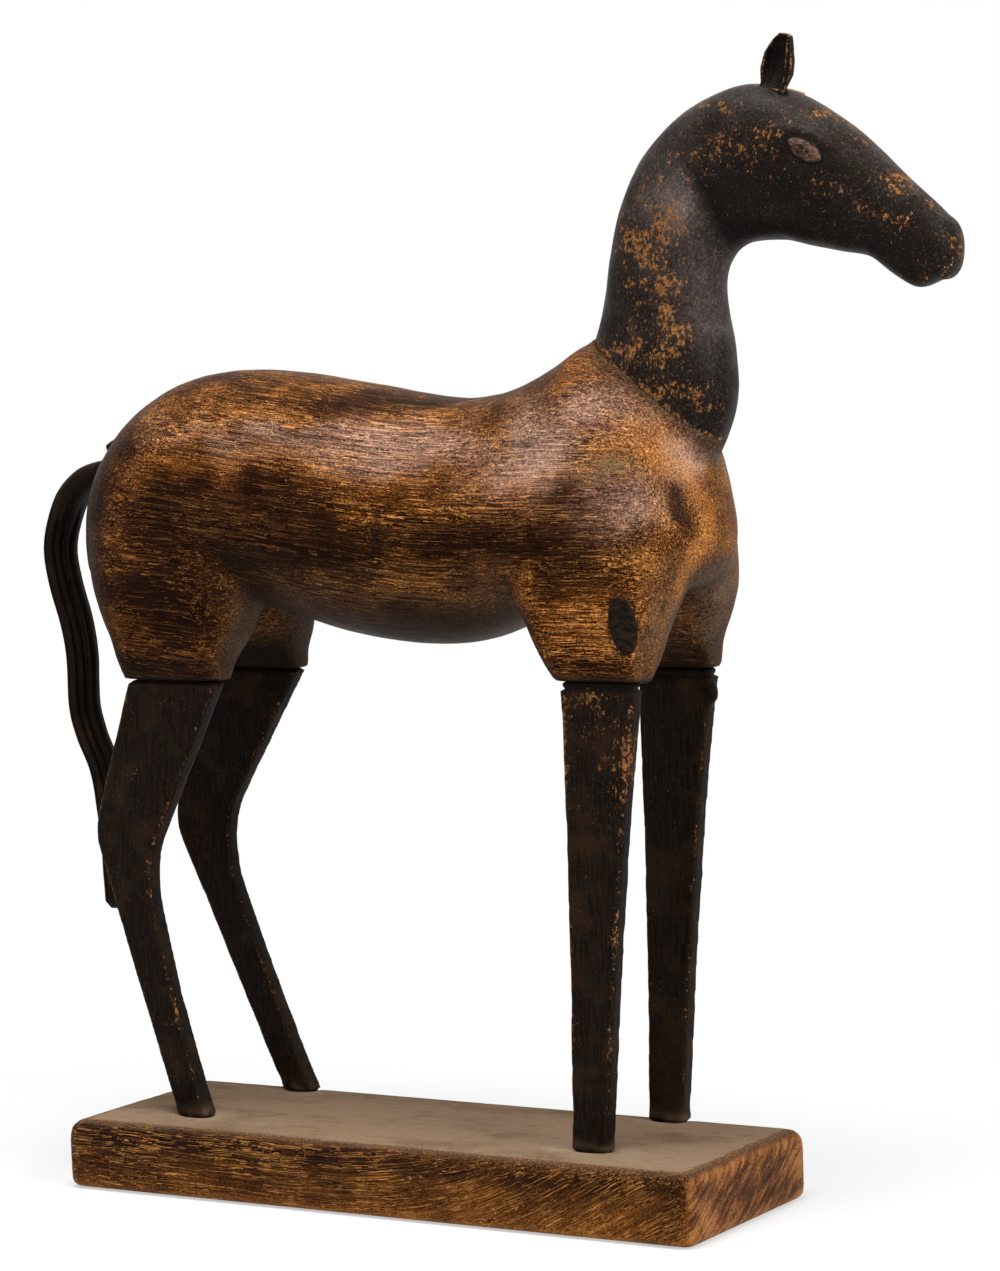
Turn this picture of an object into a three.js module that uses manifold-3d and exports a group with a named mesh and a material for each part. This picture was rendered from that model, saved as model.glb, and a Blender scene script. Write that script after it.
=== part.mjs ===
// Folk art horse statue: a joined wooden horse standing on a plank. Millimetres, +Z up, +X toward the
// head, +Y to the horse's left. The origin is the centre of the plank's underside.
import * as THREE from "three";
import { mergeVertices } from "three/addons/utils/BufferGeometryUtils.js";
import Module from "manifold-3d";

const wasm = await Module();
wasm.setup();

// Plank base
const BASE_LENGTH = 386;
const BASE_WIDTH = 133;
const BASE_THICK = 37;
const BASE_TOP_ROUND = 7.5;
const BASE_FOOT_ROUND = 3;
const BASE_CORNER = 6.5;
const ROUND_STEPS = 4; // in each of the base's rounded edges

// Stance: where the slats stand across the base, and how high they carry the trunk
const LEG_HEIGHT = 243; // from the base's top to the fore stubs' lower faces
const LEG_OUTER = 46.5; // from the horse's middle plane to a slat's outer face
const LEG_THICK = 11;
const FAR_FOOT_INSET = 4.5; // from the left slats' outer faces to the base's side

// Slats
const LEG_EDGE = 0.8; // worn edge, as a chamfer
const FORE_TOP_REAR = 106.8;
const FORE_TOP_WIDTH = 43.5;
const FORE_FOOT_REAR = 105.5;
const FORE_FOOT_WIDTH = 20.5;
const FORE_REAR_BOW = 2.6; // how far the control point of the rear edge is drawn in
const FORE_FRONT_BOW = 1.5;
const FORE_BOW_SHARE = 0.6; // height of the front edge's control point
const HIND_TOP_REAR = -165;
const HIND_TOP_WIDTH = 58;
const HOCK_HEIGHT = 151; // of the point of the hock
const HOCK_REAR = -191.5;
const SHANK_TOP_HEIGHT = 128; // of the bend in the front edge
const SHANK_TOP_FRONT = -157;
const HIND_FOOT_REAR = -143;
const HIND_FOOT_WIDTH = 19.5;
const SHANK_BOW = 2; // how far the control point of the shank's front edge is drawn in
const SHANK_BOW_SHARE = 0.45;
const LEFT_FORE_SHIFT = 0.6; // the left slats differ a little from the right ones
const LEFT_HIND_TOP_SHIFT = -2;
const LEFT_HOCK_SHIFT = -4;
const LEFT_SHANK_RISE = 11;
const LEFT_HIND_FOOT_SHIFT = 15;
const RESIN_LUMP = 5; // radius of the lump on the left fore slat
const RESIN_SHAPE = [0.8, 0.9, 1.5];
const RESIN_IN = 2.5; // from the slat's front edge
const RESIN_SIDE = 1.5; // from the slat's middle, toward the horse's middle plane
const RESIN_DROP = 13; // from the stub's lower face

// Joints of the slats
const FORE_COLLAR = 5; // recessed band between a slat's shoulder and its stub
const HIND_COLLAR = 2;
const COLLAR_INSET = 2;
const TENON_INSET = 6; // from the slat's edges
const TENON_SIDE_INSET = 3;
const UPPER_TENON = 26;
const FOOT_TENON = 18;
const FOOT_TENON_INSET = 2;

// Stubs of the trunk
const STUB_OVERHANG = 3; // past the slat's ends
const STUB_SIDE = 1.5; // past the slat's outer face
const STUB_INNER = 4; // past the slat's inner face
const STUB_POINTS = 24;
const HIND_STUB_DROP = 4; // how much lower the hind stubs end

// Trunk
const BARREL_HALF = 53;
const CHEST_BULGE = 24;
const CHEST_FALL = 16; // degrees below level, the way the chest bulges
const RUMP_BULGE = 6;
const TRUNK_POINTS = 32;
const SEAT_REAR_X = 109.5;
const SEAT_REAR_Z = 174.5;
const SEAT_SLOPE = 38; // degrees, down toward the chest
const SEAT_TROUGH = 6; // degrees, up toward each side
const SEAT_LENGTH = 89;

// Neck and head
const NECK_HALF = 28; // at the seat
const THROAT_HALF = 23.5;
const CHEEK_HALF = 25.5;
const MUZZLE_HALF = 14.5;
const MUZZLE_BULGE = 9.5;
const VALLEY_RADIUS = 11; // of the gouge that parts each cheek from the neck
const VALLEY_POINTS = 14; // along the gouge and round it
const ROOT_STATIONS = 5; // of the neck's sections, how many shape the rise under its seat
const NECK_POINTS = 26;
const DOWEL_RADIUS = 5;
const DOWEL_LENGTH = 44;
const DOWEL_SPACING = 34;
const TENON_POINTS = 16; // round the dowels and the tail's tenon

// Ears
const EAR_X = 218.5;
const EAR_SIDE = 8.5; // from the middle plane
const EAR_LENGTH = 28.5;
const EAR_WIDTH = 22;
const EAR_WALL = 3;
const EAR_ROOT = 9; // depth in the poll
const EAR_LEAN = 14; // degrees, forward
const EAR_SPLAY = 6; // degrees, sideways
const EAR_TURN = 20; // degrees, its hollow away from straight sideways
const EAR_ROOT_SHARE = 0.8; // of the ear's width
const STUMP_HEIGHT = 0.8;

// Eyes
const EYE_X = 243;
const EYE_Z = 263.5;
const EYE_LENGTH = 20;
const EYE_WIDTH = 9.5;
const EYE_RISE = 2.2;
const EYE_DEPTH = 3;
const EYE_TILT = -30; // degrees

// Tail
const TAIL_THICK = 14.5;
const TAIL_WIDTH = 24;
const TAIL_TIP_WIDTH = 17;
const TAIL_GROOVE = 1.6;
const TAIL_GROOVES = 6;
const TAIL_ROOT_SHARE = 0.75; // of the full section where the tail leaves the croup
const TAIL_TIP_SHARE = 0.8;
const TAIL_POWER = 2.6; // how square the section is
const TAIL_STEPS = 26;
const TAIL_POINTS = 20;
const TAIL_TENON_RADIUS = 5.5;
const TAIL_TENON = 24;
const TAIL_TENON_BURY = 12; // how far the tenon runs back into the tail
const TAIL_ROOT_Z = 108;
const TAIL_ROOT_RISE = 8; // degrees
const WEDGE_WIDTH = 15;
const WEDGE_Z = 126;

// Shoulder plug
const PLUG_X = 147;
const PLUG_Z = 29;
const PLUG_LENGTH = 30;
const PLUG_WIDTH = 15;
const PLUG_DEPTH = 3;
const PLUG_PROUD = 1;
const PLUG_TILT = 8; // degrees

// Fit
const GLUE_GAP = 0.3;
const LAP = 1; // how far two shapes of one piece run into each other
const AWAY = 400; // farther from the horse's middle than any of its surfaces

const HORSE_Y = BASE_WIDTH / 2 - FAR_FOOT_INSET - LEG_OUTER;
const LEG_INNER = LEG_OUTER - LEG_THICK;
const LEG_MIDDLE = LEG_OUTER - LEG_THICK / 2;
const HIND_LEG_HEIGHT = LEG_HEIGHT - HIND_STUB_DROP;

/** A solid from a closed three.js geometry, turned to face outwards. */
function solidOf(geometry) {
  const bare = new THREE.BufferGeometry();
  bare.setAttribute("position", geometry.getAttribute("position").clone());
  bare.setIndex(geometry.index);
  const merged = mergeVertices(bare, 1e-4);
  const vertProperties = new Float32Array(merged.getAttribute("position").array);
  const triVerts = [];
  const source = merged.index.array;
  let sixVolumes = 0;
  const a = new THREE.Vector3();
  const b = new THREE.Vector3();
  const c = new THREE.Vector3();
  for (let i = 0; i < source.length; i += 3) {
    const [p, q, r] = [source[i], source[i + 1], source[i + 2]];
    if (p === q || q === r || r === p) continue;
    triVerts.push(p, q, r);
    a.fromArray(vertProperties, 3 * p);
    b.fromArray(vertProperties, 3 * q);
    c.fromArray(vertProperties, 3 * r);
    sixVolumes += a.dot(b.cross(c));
  }
  if (sixVolumes < 0) triVerts.reverse();
  return new wasm.Manifold(
    new wasm.Mesh({ numProp: 3, vertProperties, triVerts: new Uint32Array(triVerts) }),
  );
}

/** The three.js geometry of a solid. */
function geometryOf(solid) {
  const mesh = solid.getMesh();
  const geometry = new THREE.BufferGeometry();
  geometry.setAttribute("position", new THREE.BufferAttribute(mesh.vertProperties, 3));
  geometry.setIndex(new THREE.BufferAttribute(mesh.triVerts, 1));
  return geometry;
}

/** A solid skinned over rings of the same number of points, with a fan over each end. */
function loft(rings) {
  const count = rings[0].length;
  const points = rings.flat();
  const index = [];
  for (let r = 0; r + 1 < rings.length; r += 1) {
    for (let k = 0; k < count; k += 1) {
      const here = r * count + k;
      const next = r * count + ((k + 1) % count);
      index.push(here, next, here + count);
      index.push(next, next + count, here + count);
    }
  }
  for (const end of [0, rings.length - 1]) {
    const middle = points.length;
    points.push(centreOf(rings[end]));
    for (let k = 0; k < count; k += 1) {
      const here = end * count + k;
      const next = end * count + ((k + 1) % count);
      if (end === 0) index.push(middle, next, here);
      else index.push(middle, here, next);
    }
  }
  const geometry = new THREE.BufferGeometry().setFromPoints(points);
  geometry.setIndex(index);
  return solidOf(geometry);
}

function centreOf(ring) {
  const centre = new THREE.Vector3();
  for (const point of ring) centre.add(point);
  return centre.divideScalar(ring.length);
}

/** Rings that round off a loft past its end ring, as a quarter ellipse of the given bulge. */
function roundedEnd(ring, direction, bulge, steps) {
  const centre = centreOf(ring);
  const rings = [];
  for (let k = 1; k <= steps; k += 1) {
    const turn = ((k / (steps + 0.35)) * Math.PI) / 2;
    rings.push(
      ring.map((point) =>
        point
          .clone()
          .sub(centre)
          .multiplyScalar(Math.cos(turn))
          .add(centre)
          .addScaledVector(direction, bulge * Math.sin(turn)),
      ),
    );
  }
  return rings;
}

/** One coordinate of a rounded rectangle between a diamond (1), an ellipse (2) and a box (large). */
function squared(value, power) {
  return Math.sign(value) * Math.abs(value) ** (2 / power);
}

/** A smooth curve through rows of numbers, at a place counted in rows. */
function through(rows, place) {
  const i = Math.min(Math.floor(place), rows.length - 2);
  const t = place - i;
  const before = rows[Math.max(i - 1, 0)];
  const from = rows[i];
  const to = rows[i + 1];
  const after = rows[Math.min(i + 2, rows.length - 1)];
  return from.map((value, k) => {
    const leave = (to[k] - before[k]) / 2;
    const arrive = (after[k] - from[k]) / 2;
    const rise = to[k] - value;
    return value + t * (leave + t * (3 * rise - 2 * leave - arrive + t * (leave + arrive - 2 * rise)));
  });
}

/** The cross sections of an upright body in the middle plane.
 * A station is upper x, z, lower x, z, half width, power, and how far down the widest line runs. */
function bodyRings(stations, ringsPerStation, points) {
  const rings = [];
  const last = (stations.length - 1) * ringsPerStation;
  for (let k = 0; k <= last; k += 1) {
    const [ux, uz, lx, lz, half, power, widest] = through(stations, k / ringsPerStation);
    const cx = ux + (lx - ux) * widest;
    const cz = uz + (lz - uz) * widest;
    rings.push(
      Array.from({ length: points }, (_, p) => {
        const turn = (p / points) * 2 * Math.PI;
        const up = squared(Math.cos(turn), power);
        const side = squared(Math.sin(turn), power);
        const [ex, ez] = up > 0 ? [ux - cx, uz - cz] : [cx - lx, cz - lz];
        return new THREE.Vector3(cx + up * ex, side * half, cz + up * ez);
      }),
    );
  }
  return rings;
}

/** A level rounded section from x1 to x2 and y1 to y2 at the height z. */
function levelRing([z, x1, x2, y1, y2, power], points) {
  return Array.from({ length: points }, (_, p) => {
    const turn = ((p + 0.5) / points) * 2 * Math.PI;
    const x = (x1 + x2) / 2 + (squared(Math.cos(turn), power) * (x2 - x1)) / 2;
    const y = (y1 + y2) / 2 + (squared(Math.sin(turn), power) * (y2 - y1)) / 2;
    return new THREE.Vector3(x, y, z);
  });
}

/** A box between two corners. */
function block(low, high) {
  const size = high.map((value, k) => value - low[k]);
  const box = new THREE.BoxGeometry(...size);
  box.translate(...low.map((value, k) => value + size[k] / 2));
  return solidOf(box);
}

/** A solid moved by a three.js matrix. */
function placed(solid, matrix) {
  return solid.transform(matrix.elements);
}

function matrixOf(position, rotation) {
  const turn = new THREE.Quaternion().setFromEuler(rotation);
  return new THREE.Matrix4().compose(position, turn, new THREE.Vector3(1, 1, 1));
}

/** Where a straight line from outside first meets a solid, and the way its surface faces there. */
function touch(solid, from, direction) {
  const skin = new THREE.Mesh(geometryOf(solid), new THREE.MeshBasicMaterial({ side: THREE.DoubleSide }));
  return new THREE.Raycaster(from, direction.clone().normalize()).intersectObject(skin)[0];
}

/** A place on a solid's side at (x, z): its local +Z leaves the surface, its local X runs forward. */
function sidePlace(solid, x, z, side, tilt) {
  const hit = touch(solid, new THREE.Vector3(x, side * AWAY, z), new THREE.Vector3(0, -side, 0));
  const outward = hit.face.normal.clone();
  const down = new THREE.Vector3(1, 0, 0).cross(outward).negate().normalize();
  const forward = down.clone().cross(outward).normalize();
  return new THREE.Matrix4()
    .makeBasis(forward, down, outward)
    .setPosition(hit.point)
    .multiply(new THREE.Matrix4().makeRotationZ(radians(-side * tilt)));
}

function mirrored(solid) {
  return solid.transform(new THREE.Matrix4().makeScale(1, -1, 1).elements);
}

function wood(color, roughness) {
  return new THREE.MeshStandardMaterial({ color, roughness, metalness: 0 });
}

const STAINED_WOOD = [0x4a2a17, 0.5];
const BLACK_PAINT = [0x1f1713, 0.42];
const LEG_PAINT = [0x2a1c14, 0.5];
const DUSTY_WOOD = [0x54402f, 0.8];
const BARE_WOOD = [0xa5764a, 0.75];

function piece(name, solid, [color, roughness]) {
  const geometry = geometryOf(solid);
  geometry.computeVertexNormals();
  const mesh = new THREE.Mesh(geometry, wood(color, roughness));
  mesh.name = name;
  return mesh;
}

const radians = THREE.MathUtils.degToRad;

// Slats, in a frame whose zero height is the base's top

/** The four slats: side, end and how far each is off the right one at its top, hock and foot. */
const SLATS = [
  { name: "fore_leg_right", side: -1, fore: true, topShift: 0, footShift: 0 },
  {
    name: "fore_leg_left",
    side: 1,
    fore: true,
    topShift: LEFT_FORE_SHIFT,
    footShift: LEFT_FORE_SHIFT,
  },
  {
    name: "hind_leg_right",
    side: -1,
    fore: false,
    topShift: 0,
    hockShift: 0,
    shankRise: 0,
    footShift: 0,
  },
  {
    name: "hind_leg_left",
    side: 1,
    fore: false,
    topShift: LEFT_HIND_TOP_SHIFT,
    hockShift: LEFT_HOCK_SHIFT,
    shankRise: LEFT_SHANK_RISE,
    footShift: LEFT_HIND_FOOT_SHIFT,
  },
];

function topOf(entry) {
  const rear = (entry.fore ? FORE_TOP_REAR : HIND_TOP_REAR) + entry.topShift;
  const width = entry.fore ? FORE_TOP_WIDTH : HIND_TOP_WIDTH;
  return {
    rear,
    front: rear + width,
    height: entry.fore ? LEG_HEIGHT : HIND_LEG_HEIGHT,
    collar: entry.fore ? FORE_COLLAR : HIND_COLLAR,
  };
}

function footOf(entry) {
  const rear = (entry.fore ? FORE_FOOT_REAR : HIND_FOOT_REAR) + entry.footShift;
  return { rear, front: rear + (entry.fore ? FORE_FOOT_WIDTH : HIND_FOOT_WIDTH) };
}

/** The curve round the point of the hock, as start, pull and end, each measured from that point. */
const HOCK_CURVE = [
  [4, -11],
  [-1, 0],
  [3, 15],
];

/** The curve in the front edge opposite the hock, from its top down. */
const SHIN_CURVE = [
  [7, 24],
  [-1, 8],
  [4, -18],
];

/** The side outline of a slat from the base's top to its shoulder. */
function slatShape(entry) {
  const top = topOf(entry);
  const foot = footOf(entry);
  const shoulder = top.height - top.collar;
  const shape = new THREE.Shape();
  shape.moveTo(foot.rear, GLUE_GAP);
  if (entry.fore) {
    const rearPull = (foot.rear + top.rear) / 2 + FORE_REAR_BOW;
    const frontPull = (foot.front + top.front) / 2 - FORE_FRONT_BOW;
    shape.quadraticCurveTo(rearPull, shoulder / 2, top.rear, shoulder);
    shape.lineTo(top.front, shoulder);
    shape.quadraticCurveTo(frontPull, shoulder * FORE_BOW_SHARE, foot.front, GLUE_GAP);
    return shape;
  }
  const heel = HOCK_REAR + entry.hockShift;
  const shin = SHANK_TOP_FRONT + entry.hockShift;
  const bend = SHANK_TOP_HEIGHT + entry.shankRise;
  const hock = HOCK_CURVE.map(([x, z]) => [heel + x, HOCK_HEIGHT + z]);
  const front = SHIN_CURVE.map(([x, z]) => [shin + x, bend + z]);
  const shankPull = (shin + foot.front) / 2 - SHANK_BOW;
  shape.lineTo(...hock[0]);
  shape.quadraticCurveTo(...hock[1], ...hock[2]);
  shape.lineTo(top.rear, shoulder);
  shape.lineTo(top.front, shoulder);
  shape.lineTo(...front[0]);
  shape.quadraticCurveTo(...front[1], ...front[2]);
  shape.quadraticCurveTo(shankPull, bend * SHANK_BOW_SHARE, foot.front, GLUE_GAP);
  return shape;
}

/** The tenon into the stub and the one into the base, with room around them for a mortise. */
function slatTenons(slat, room) {
  const top = topOf(slat);
  const foot = footOf(slat);
  const y1 = slat.side * LEG_MIDDLE - LEG_THICK / 2;
  const y2 = y1 + LEG_THICK;
  const collar = block(
    [top.rear + COLLAR_INSET, y1 + COLLAR_INSET, top.height - top.collar - LAP],
    [top.front - COLLAR_INSET, y2 - COLLAR_INSET, top.height - GLUE_GAP],
  );
  const upper = block(
    [top.rear + TENON_INSET - room, y1 + TENON_SIDE_INSET - room, top.height - top.collar],
    [top.front - TENON_INSET + room, y2 - TENON_SIDE_INSET + room, top.height + UPPER_TENON + room],
  );
  const lower = block(
    [foot.rear + FOOT_TENON_INSET - room, y1 + FOOT_TENON_INSET - room, -FOOT_TENON - room],
    [foot.front - FOOT_TENON_INSET + room, y2 - FOOT_TENON_INSET + room, LAP],
  );
  return { collar, upper, lower };
}

function slat(entry) {
  const outline = new THREE.ExtrudeGeometry(slatShape(entry), {
    depth: LEG_THICK - 2 * LEG_EDGE,
    bevelThickness: LEG_EDGE,
    bevelSize: LEG_EDGE,
    bevelOffset: -LEG_EDGE,
    bevelSegments: 1,
    curveSegments: 7,
  });
  outline.translate(0, 0, -(LEG_THICK - 2 * LEG_EDGE) / 2);
  outline.rotateX(Math.PI / 2);
  outline.translate(0, entry.side * LEG_MIDDLE, 0);
  const { collar, upper, lower } = slatTenons(entry, 0);
  let solid = solidOf(outline).add(collar).add(upper).add(lower);
  if (entry.name === "fore_leg_left") solid = solid.add(resinLump(entry));
  return solid;
}

/** The shiny lump at the top of the left fore slat's front edge. */
function resinLump(entry) {
  const lump = new THREE.SphereGeometry(RESIN_LUMP, 12, 8);
  lump.scale(...RESIN_SHAPE);
  lump.translate(
    topOf(entry).front - RESIN_IN,
    entry.side * (LEG_MIDDLE - RESIN_SIDE),
    LEG_HEIGHT - RESIN_DROP,
  );
  return solidOf(lump);
}

// Trunk, in a frame whose zero height is the fore stubs' lower faces

/** The trunk from the rump to the chest, as stations of bodyRings. */
const TRUNK_STATIONS = [
  [-206, 57, -158, 44, BARREL_HALF - 13, 2.3, 0.5],
  [-207.5, 79, -150, 44, BARREL_HALF - 10, 2.2, 0.5],
  [-203, 102, -143, 44, BARREL_HALF - 6.5, 2.2, 0.5],
  [-192, 122.5, -134, 45, BARREL_HALF - 4, 2.2, 0.5],
  [-174, 141.5, -124, 44, BARREL_HALF - 2, 2.2, 0.5],
  [-146, 156.6, -112, 40, BARREL_HALF - 0.5, 2.2, 0.5],
  [-112, 162.6, -94, 33.5, BARREL_HALF, 2.2, 0.52],
  [-76, 160.6, -70, 27.5, BARREL_HALF, 2.2, 0.53],
  [-40, 155, -38, 19.3, BARREL_HALF, 2.2, 0.54],
  [0, 148, 0, 14.6, BARREL_HALF, 2.2, 0.55],
  [35, 144.5, 36, 15.8, BARREL_HALF, 2.3, 0.55],
  [66, 149.5, 66, 26, BARREL_HALF, 2.4, 0.55],
  [92, 161, 92, 36, BARREL_HALF, 2.4, 0.56],
  [110, 171.5, 112, 42, BARREL_HALF, 2.4, 0.57],
  [122, 170.5, 131, 42.5, BARREL_HALF - 0.5, 2.4, 0.58],
  [132, 165, 146, 43.5, BARREL_HALF - 2, 2.4, 0.6],
  [142, 157, 160, 45, BARREL_HALF - 4.5, 2.45, 0.62],
];

/** A stub's level sections: height above its lower face, how far it reaches past the slat at the
 * rear, front and outer side, where its inner face is from the middle plane, and its power. */
const FORE_STUB = [
  [0, 0, 0, 0, 0, 6],
  [6, 5, 0.5, 1, 3, 5.5],
  [17, 12, 3, 2, 10, 5],
  [31, 20, 9.5, 3, 18, 4],
  [45, 29, 14.5, 4, 27, 3.4],
  [65, 36, 16, 4.2, 33, 3],
  [88, 36, 14, 3, 33, 2.8],
  [108, 22, 4, -3, 33, 2.8],
  [124, 6, -12, -14, 33, 2.8],
];
const HIND_STUB = [
  [0, 0, 0, 0, 0, 6],
  [10, 5, 1, 1, 7, 5.2],
  [21, 10, 6, 2, 15, 4.2],
  [36, 19, 11, 3, 24, 3.3],
  [54, 26, 13, 4, 30, 2.8],
  [76, 28, 12, 4, 34, 2.6],
  [98, 22, 8, 2, 33, 2.6],
  [116, 10, -4, -4, 30, 2.6],
  [130, 0, -18, -12, 30, 2.6],
];

/** The stub that a slat's tenon enters, widening upwards into the trunk and arched inside. */
function stub(entry) {
  const top = topOf(entry);
  const lower = top.height - LEG_HEIGHT;
  const sections = entry.fore ? FORE_STUB : HIND_STUB;
  const outer = LEG_OUTER + STUB_SIDE;
  const inner = LEG_INNER - STUB_INNER;
  const rows = sections.map(([up, rear, front, out, arch, power]) => [
    lower + up,
    top.rear - STUB_OVERHANG - rear,
    top.front + STUB_OVERHANG + front,
    inner - arch,
    outer + out,
    power,
  ]);
  const rings = [];
  const steps = (rows.length - 1) * 2;
  for (let k = 0; k <= steps; k += 1) rings.push(levelRing(through(rows, k / 2), STUB_POINTS));
  const left = loft(rings);
  return entry.side < 0 ? mirrored(left) : left;
}

/** The slope of the neck's seat: its local +Z leaves the trunk at right angles to the seat. */
const SEAT = matrixOf(
  new THREE.Vector3(SEAT_REAR_X, 0, SEAT_REAR_Z),
  new THREE.Euler(0, radians(SEAT_SLOPE), 0),
);

function trunkBlock() {
  const rings = bodyRings(TRUNK_STATIONS, 2, TRUNK_POINTS);
  const fall = radians(CHEST_FALL);
  const ahead = new THREE.Vector3(Math.cos(fall), 0, -Math.sin(fall));
  const front = roundedEnd(rings[rings.length - 1], ahead, CHEST_BULGE, 4);
  const rear = roundedEnd(rings[0], new THREE.Vector3(0.2, 0, -1), RUMP_BULGE, 2).reverse();
  let solid = loft([...rear, ...rings, ...front]).add(neckRoot());
  for (const entry of SLATS) solid = solid.add(stub(entry));
  return solid;
}

/** The rise that carries the neck: the neck's own lowest sections, run on down into the trunk. */
function neckRoot() {
  return loft(bodyRings(NECK_STATIONS.slice(0, ROOT_STATIONS), 3, NECK_POINTS));
}

/** Everything above the neck's seat, which is a shallow trough, raised by the given distance. */
function aboveSeat(raise) {
  const halfWidth = AWAY / 4;
  const rise = raise + halfWidth * Math.tan(radians(SEAT_TROUGH));
  const section = new THREE.Shape();
  section.moveTo(0, raise);
  section.lineTo(halfWidth, rise);
  section.lineTo(halfWidth, AWAY);
  section.lineTo(-halfWidth, AWAY);
  section.lineTo(-halfWidth, rise);
  section.closePath();
  const prism = new THREE.ExtrudeGeometry(section, { depth: AWAY, bevelEnabled: false });
  prism.rotateX(Math.PI / 2);
  prism.rotateZ(Math.PI / 2);
  prism.translate(-SEAT_LENGTH, 0, 0);
  return placed(solidOf(prism), SEAT);
}

// Neck and head, one piece, in the trunk's frame

/** The neck from its seat to the poll, then the head to the muzzle, as stations of bodyRings. */
const NECK_STATIONS = [
  [105, 150, 160, 96, NECK_HALF + 1, 2.3, 0.5],
  [109.5, 166, 175.5, 111, NECK_HALF, 2.25, 0.5],
  [115.5, 184, 187, 138, NECK_HALF - 1, 2.2, 0.5],
  [119.2, 200, 187, 164, NECK_HALF - 2, 2.2, 0.5],
  [122.5, 219, 183.5, 186, NECK_HALF - 3, 2.2, 0.5],
  [128.5, 240.5, 183.5, 202, THROAT_HALF, 2.2, 0.5],
  [140, 263, 189, 213, THROAT_HALF - 1, 2.2, 0.5],
  [157, 280.5, 198, 219, THROAT_HALF - 1, 2.2, 0.48],
  [178.5, 293, 209, 220.5, CHEEK_HALF - 2.5, 2.2, 0.44],
  [203, 299, 222, 220, CHEEK_HALF, 2.2, 0.4],
  [227, 293.5, 236, 216.5, CHEEK_HALF, 2.2, 0.38],
  [249, 281.2, 252, 213, CHEEK_HALF - 2, 2.2, 0.38],
  [269, 265.3, 268, 209.5, CHEEK_HALF - 5, 2.2, 0.4],
  [286.5, 249, 282, 199.5, MUZZLE_HALF + 3, 2.2, 0.42],
  [300, 237, 293, 194, MUZZLE_HALF + 0.5, 2.3, 0.45],
  [307.5, 229.5, 305, 197.5, MUZZLE_HALF, 2.4, 0.48],
];

function neckBlock() {
  const rings = bodyRings(NECK_STATIONS, 3, NECK_POINTS);
  const ahead = new THREE.Vector3(0.93, 0, -0.36).normalize();
  const muzzle = roundedEnd(rings[rings.length - 1], ahead, MUZZLE_BULGE, 3);
  const solid = loft([...rings, ...muzzle]).intersect(aboveSeat(GLUE_GAP));
  const gouge = valley(solid);
  return solid.subtract(gouge).subtract(mirrored(gouge));
}

/** The valley behind a cheek, from the crest to the throat: x and z of its line, and its depth. */
const VALLEY_LINE = [
  [157, 269, 0.4],
  [169, 262.5, 1.6],
  [180, 255, 2.8],
  [186.5, 243.5, 3.2],
  [190.5, 231, 2.4],
  [193.5, 220, 0.8],
];

/** A round gouge drawn along the valley's line, just sunk into the neck's right side. */
function valley(solid) {
  const centres = VALLEY_LINE.map(([x, z, depth]) => {
    const hit = touch(solid, new THREE.Vector3(x, -AWAY, z), new THREE.Vector3(0, 1, 0));
    return hit.point.addScaledVector(hit.face.normal, VALLEY_RADIUS - depth);
  });
  const curve = new THREE.CatmullRomCurve3(centres, false, "centripetal");
  const rings = [];
  for (let k = 0; k <= VALLEY_POINTS; k += 1) {
    const forward = curve.getTangentAt(k / VALLEY_POINTS);
    const up = new THREE.Vector3(0, 1, 0).cross(forward).normalize();
    const out = forward.clone().cross(up);
    const centre = curve.getPointAt(k / VALLEY_POINTS);
    rings.push(
      Array.from({ length: VALLEY_POINTS }, (_, p) => {
        const turn = (p / VALLEY_POINTS) * 2 * Math.PI;
        return centre
          .clone()
          .addScaledVector(up, Math.cos(turn) * VALLEY_RADIUS)
          .addScaledVector(out, Math.sin(turn) * VALLEY_RADIUS);
      }),
    );
  }
  return loft(rings);
}

/** The dowels stand square on the seat, one behind the other. */
function dowelMatrix(place) {
  const along = SEAT_LENGTH / 2 + place * (DOWEL_SPACING / 2);
  return SEAT.clone().multiply(new THREE.Matrix4().makeTranslation(along, 0, 0));
}

function dowel(room) {
  const radius = DOWEL_RADIUS + room;
  const length = DOWEL_LENGTH + 2 * room;
  const geometry = new THREE.CylinderGeometry(radius, radius, length, TENON_POINTS);
  geometry.rotateX(Math.PI / 2);
  return solidOf(geometry);
}

// Eyes

/** The dome of an eye: share of its rise, and share of its outline there. */
const EYE_DOME = [
  [0.15, 1],
  [0.55, 0.72],
  [0.85, 0.4],
];
const EYE_POINTS = 16;

/** An almond outline, pointed at both ends, at one depth. */
function almond(share, depth, room) {
  return Array.from({ length: EYE_POINTS }, (_, p) => {
    const turn = (p / EYE_POINTS) * 2 * Math.PI;
    const narrow = Math.abs(Math.sin(turn)) ** 0.35;
    const along = Math.cos(turn) * (EYE_LENGTH / 2 + room) * share;
    const across = Math.sin(turn) * narrow * (EYE_WIDTH / 2 + room) * share;
    return new THREE.Vector3(along, across, depth);
  });
}

/** An almond seen from the side, domed on its outer face and let into the cheek. */
function eye(room) {
  const dome = EYE_DOME.map(([rise, share]) => almond(share, rise * EYE_RISE, room));
  return loft([almond(1, -EYE_DEPTH - room, room), ...dome]);
}

// Ears

/** The ear from its root to its tip: share of its length, of its width, depth of its scoop as a
 * share of its width, and how far it reaches ahead. */
const EAR_STATIONS = [
  [0, EAR_ROOT_SHARE, 0.1, 0],
  [0.3, 1, 0.3, 0],
  [0.6, 0.9, 0.3, 0.2],
  [0.85, 0.62, 0.2, 1.5],
  [1, 0.4, 0.05, 3.8],
];
const EAR_POINTS = 6;
const EAR_HOLLOW_SHARE = 0.72;

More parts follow.
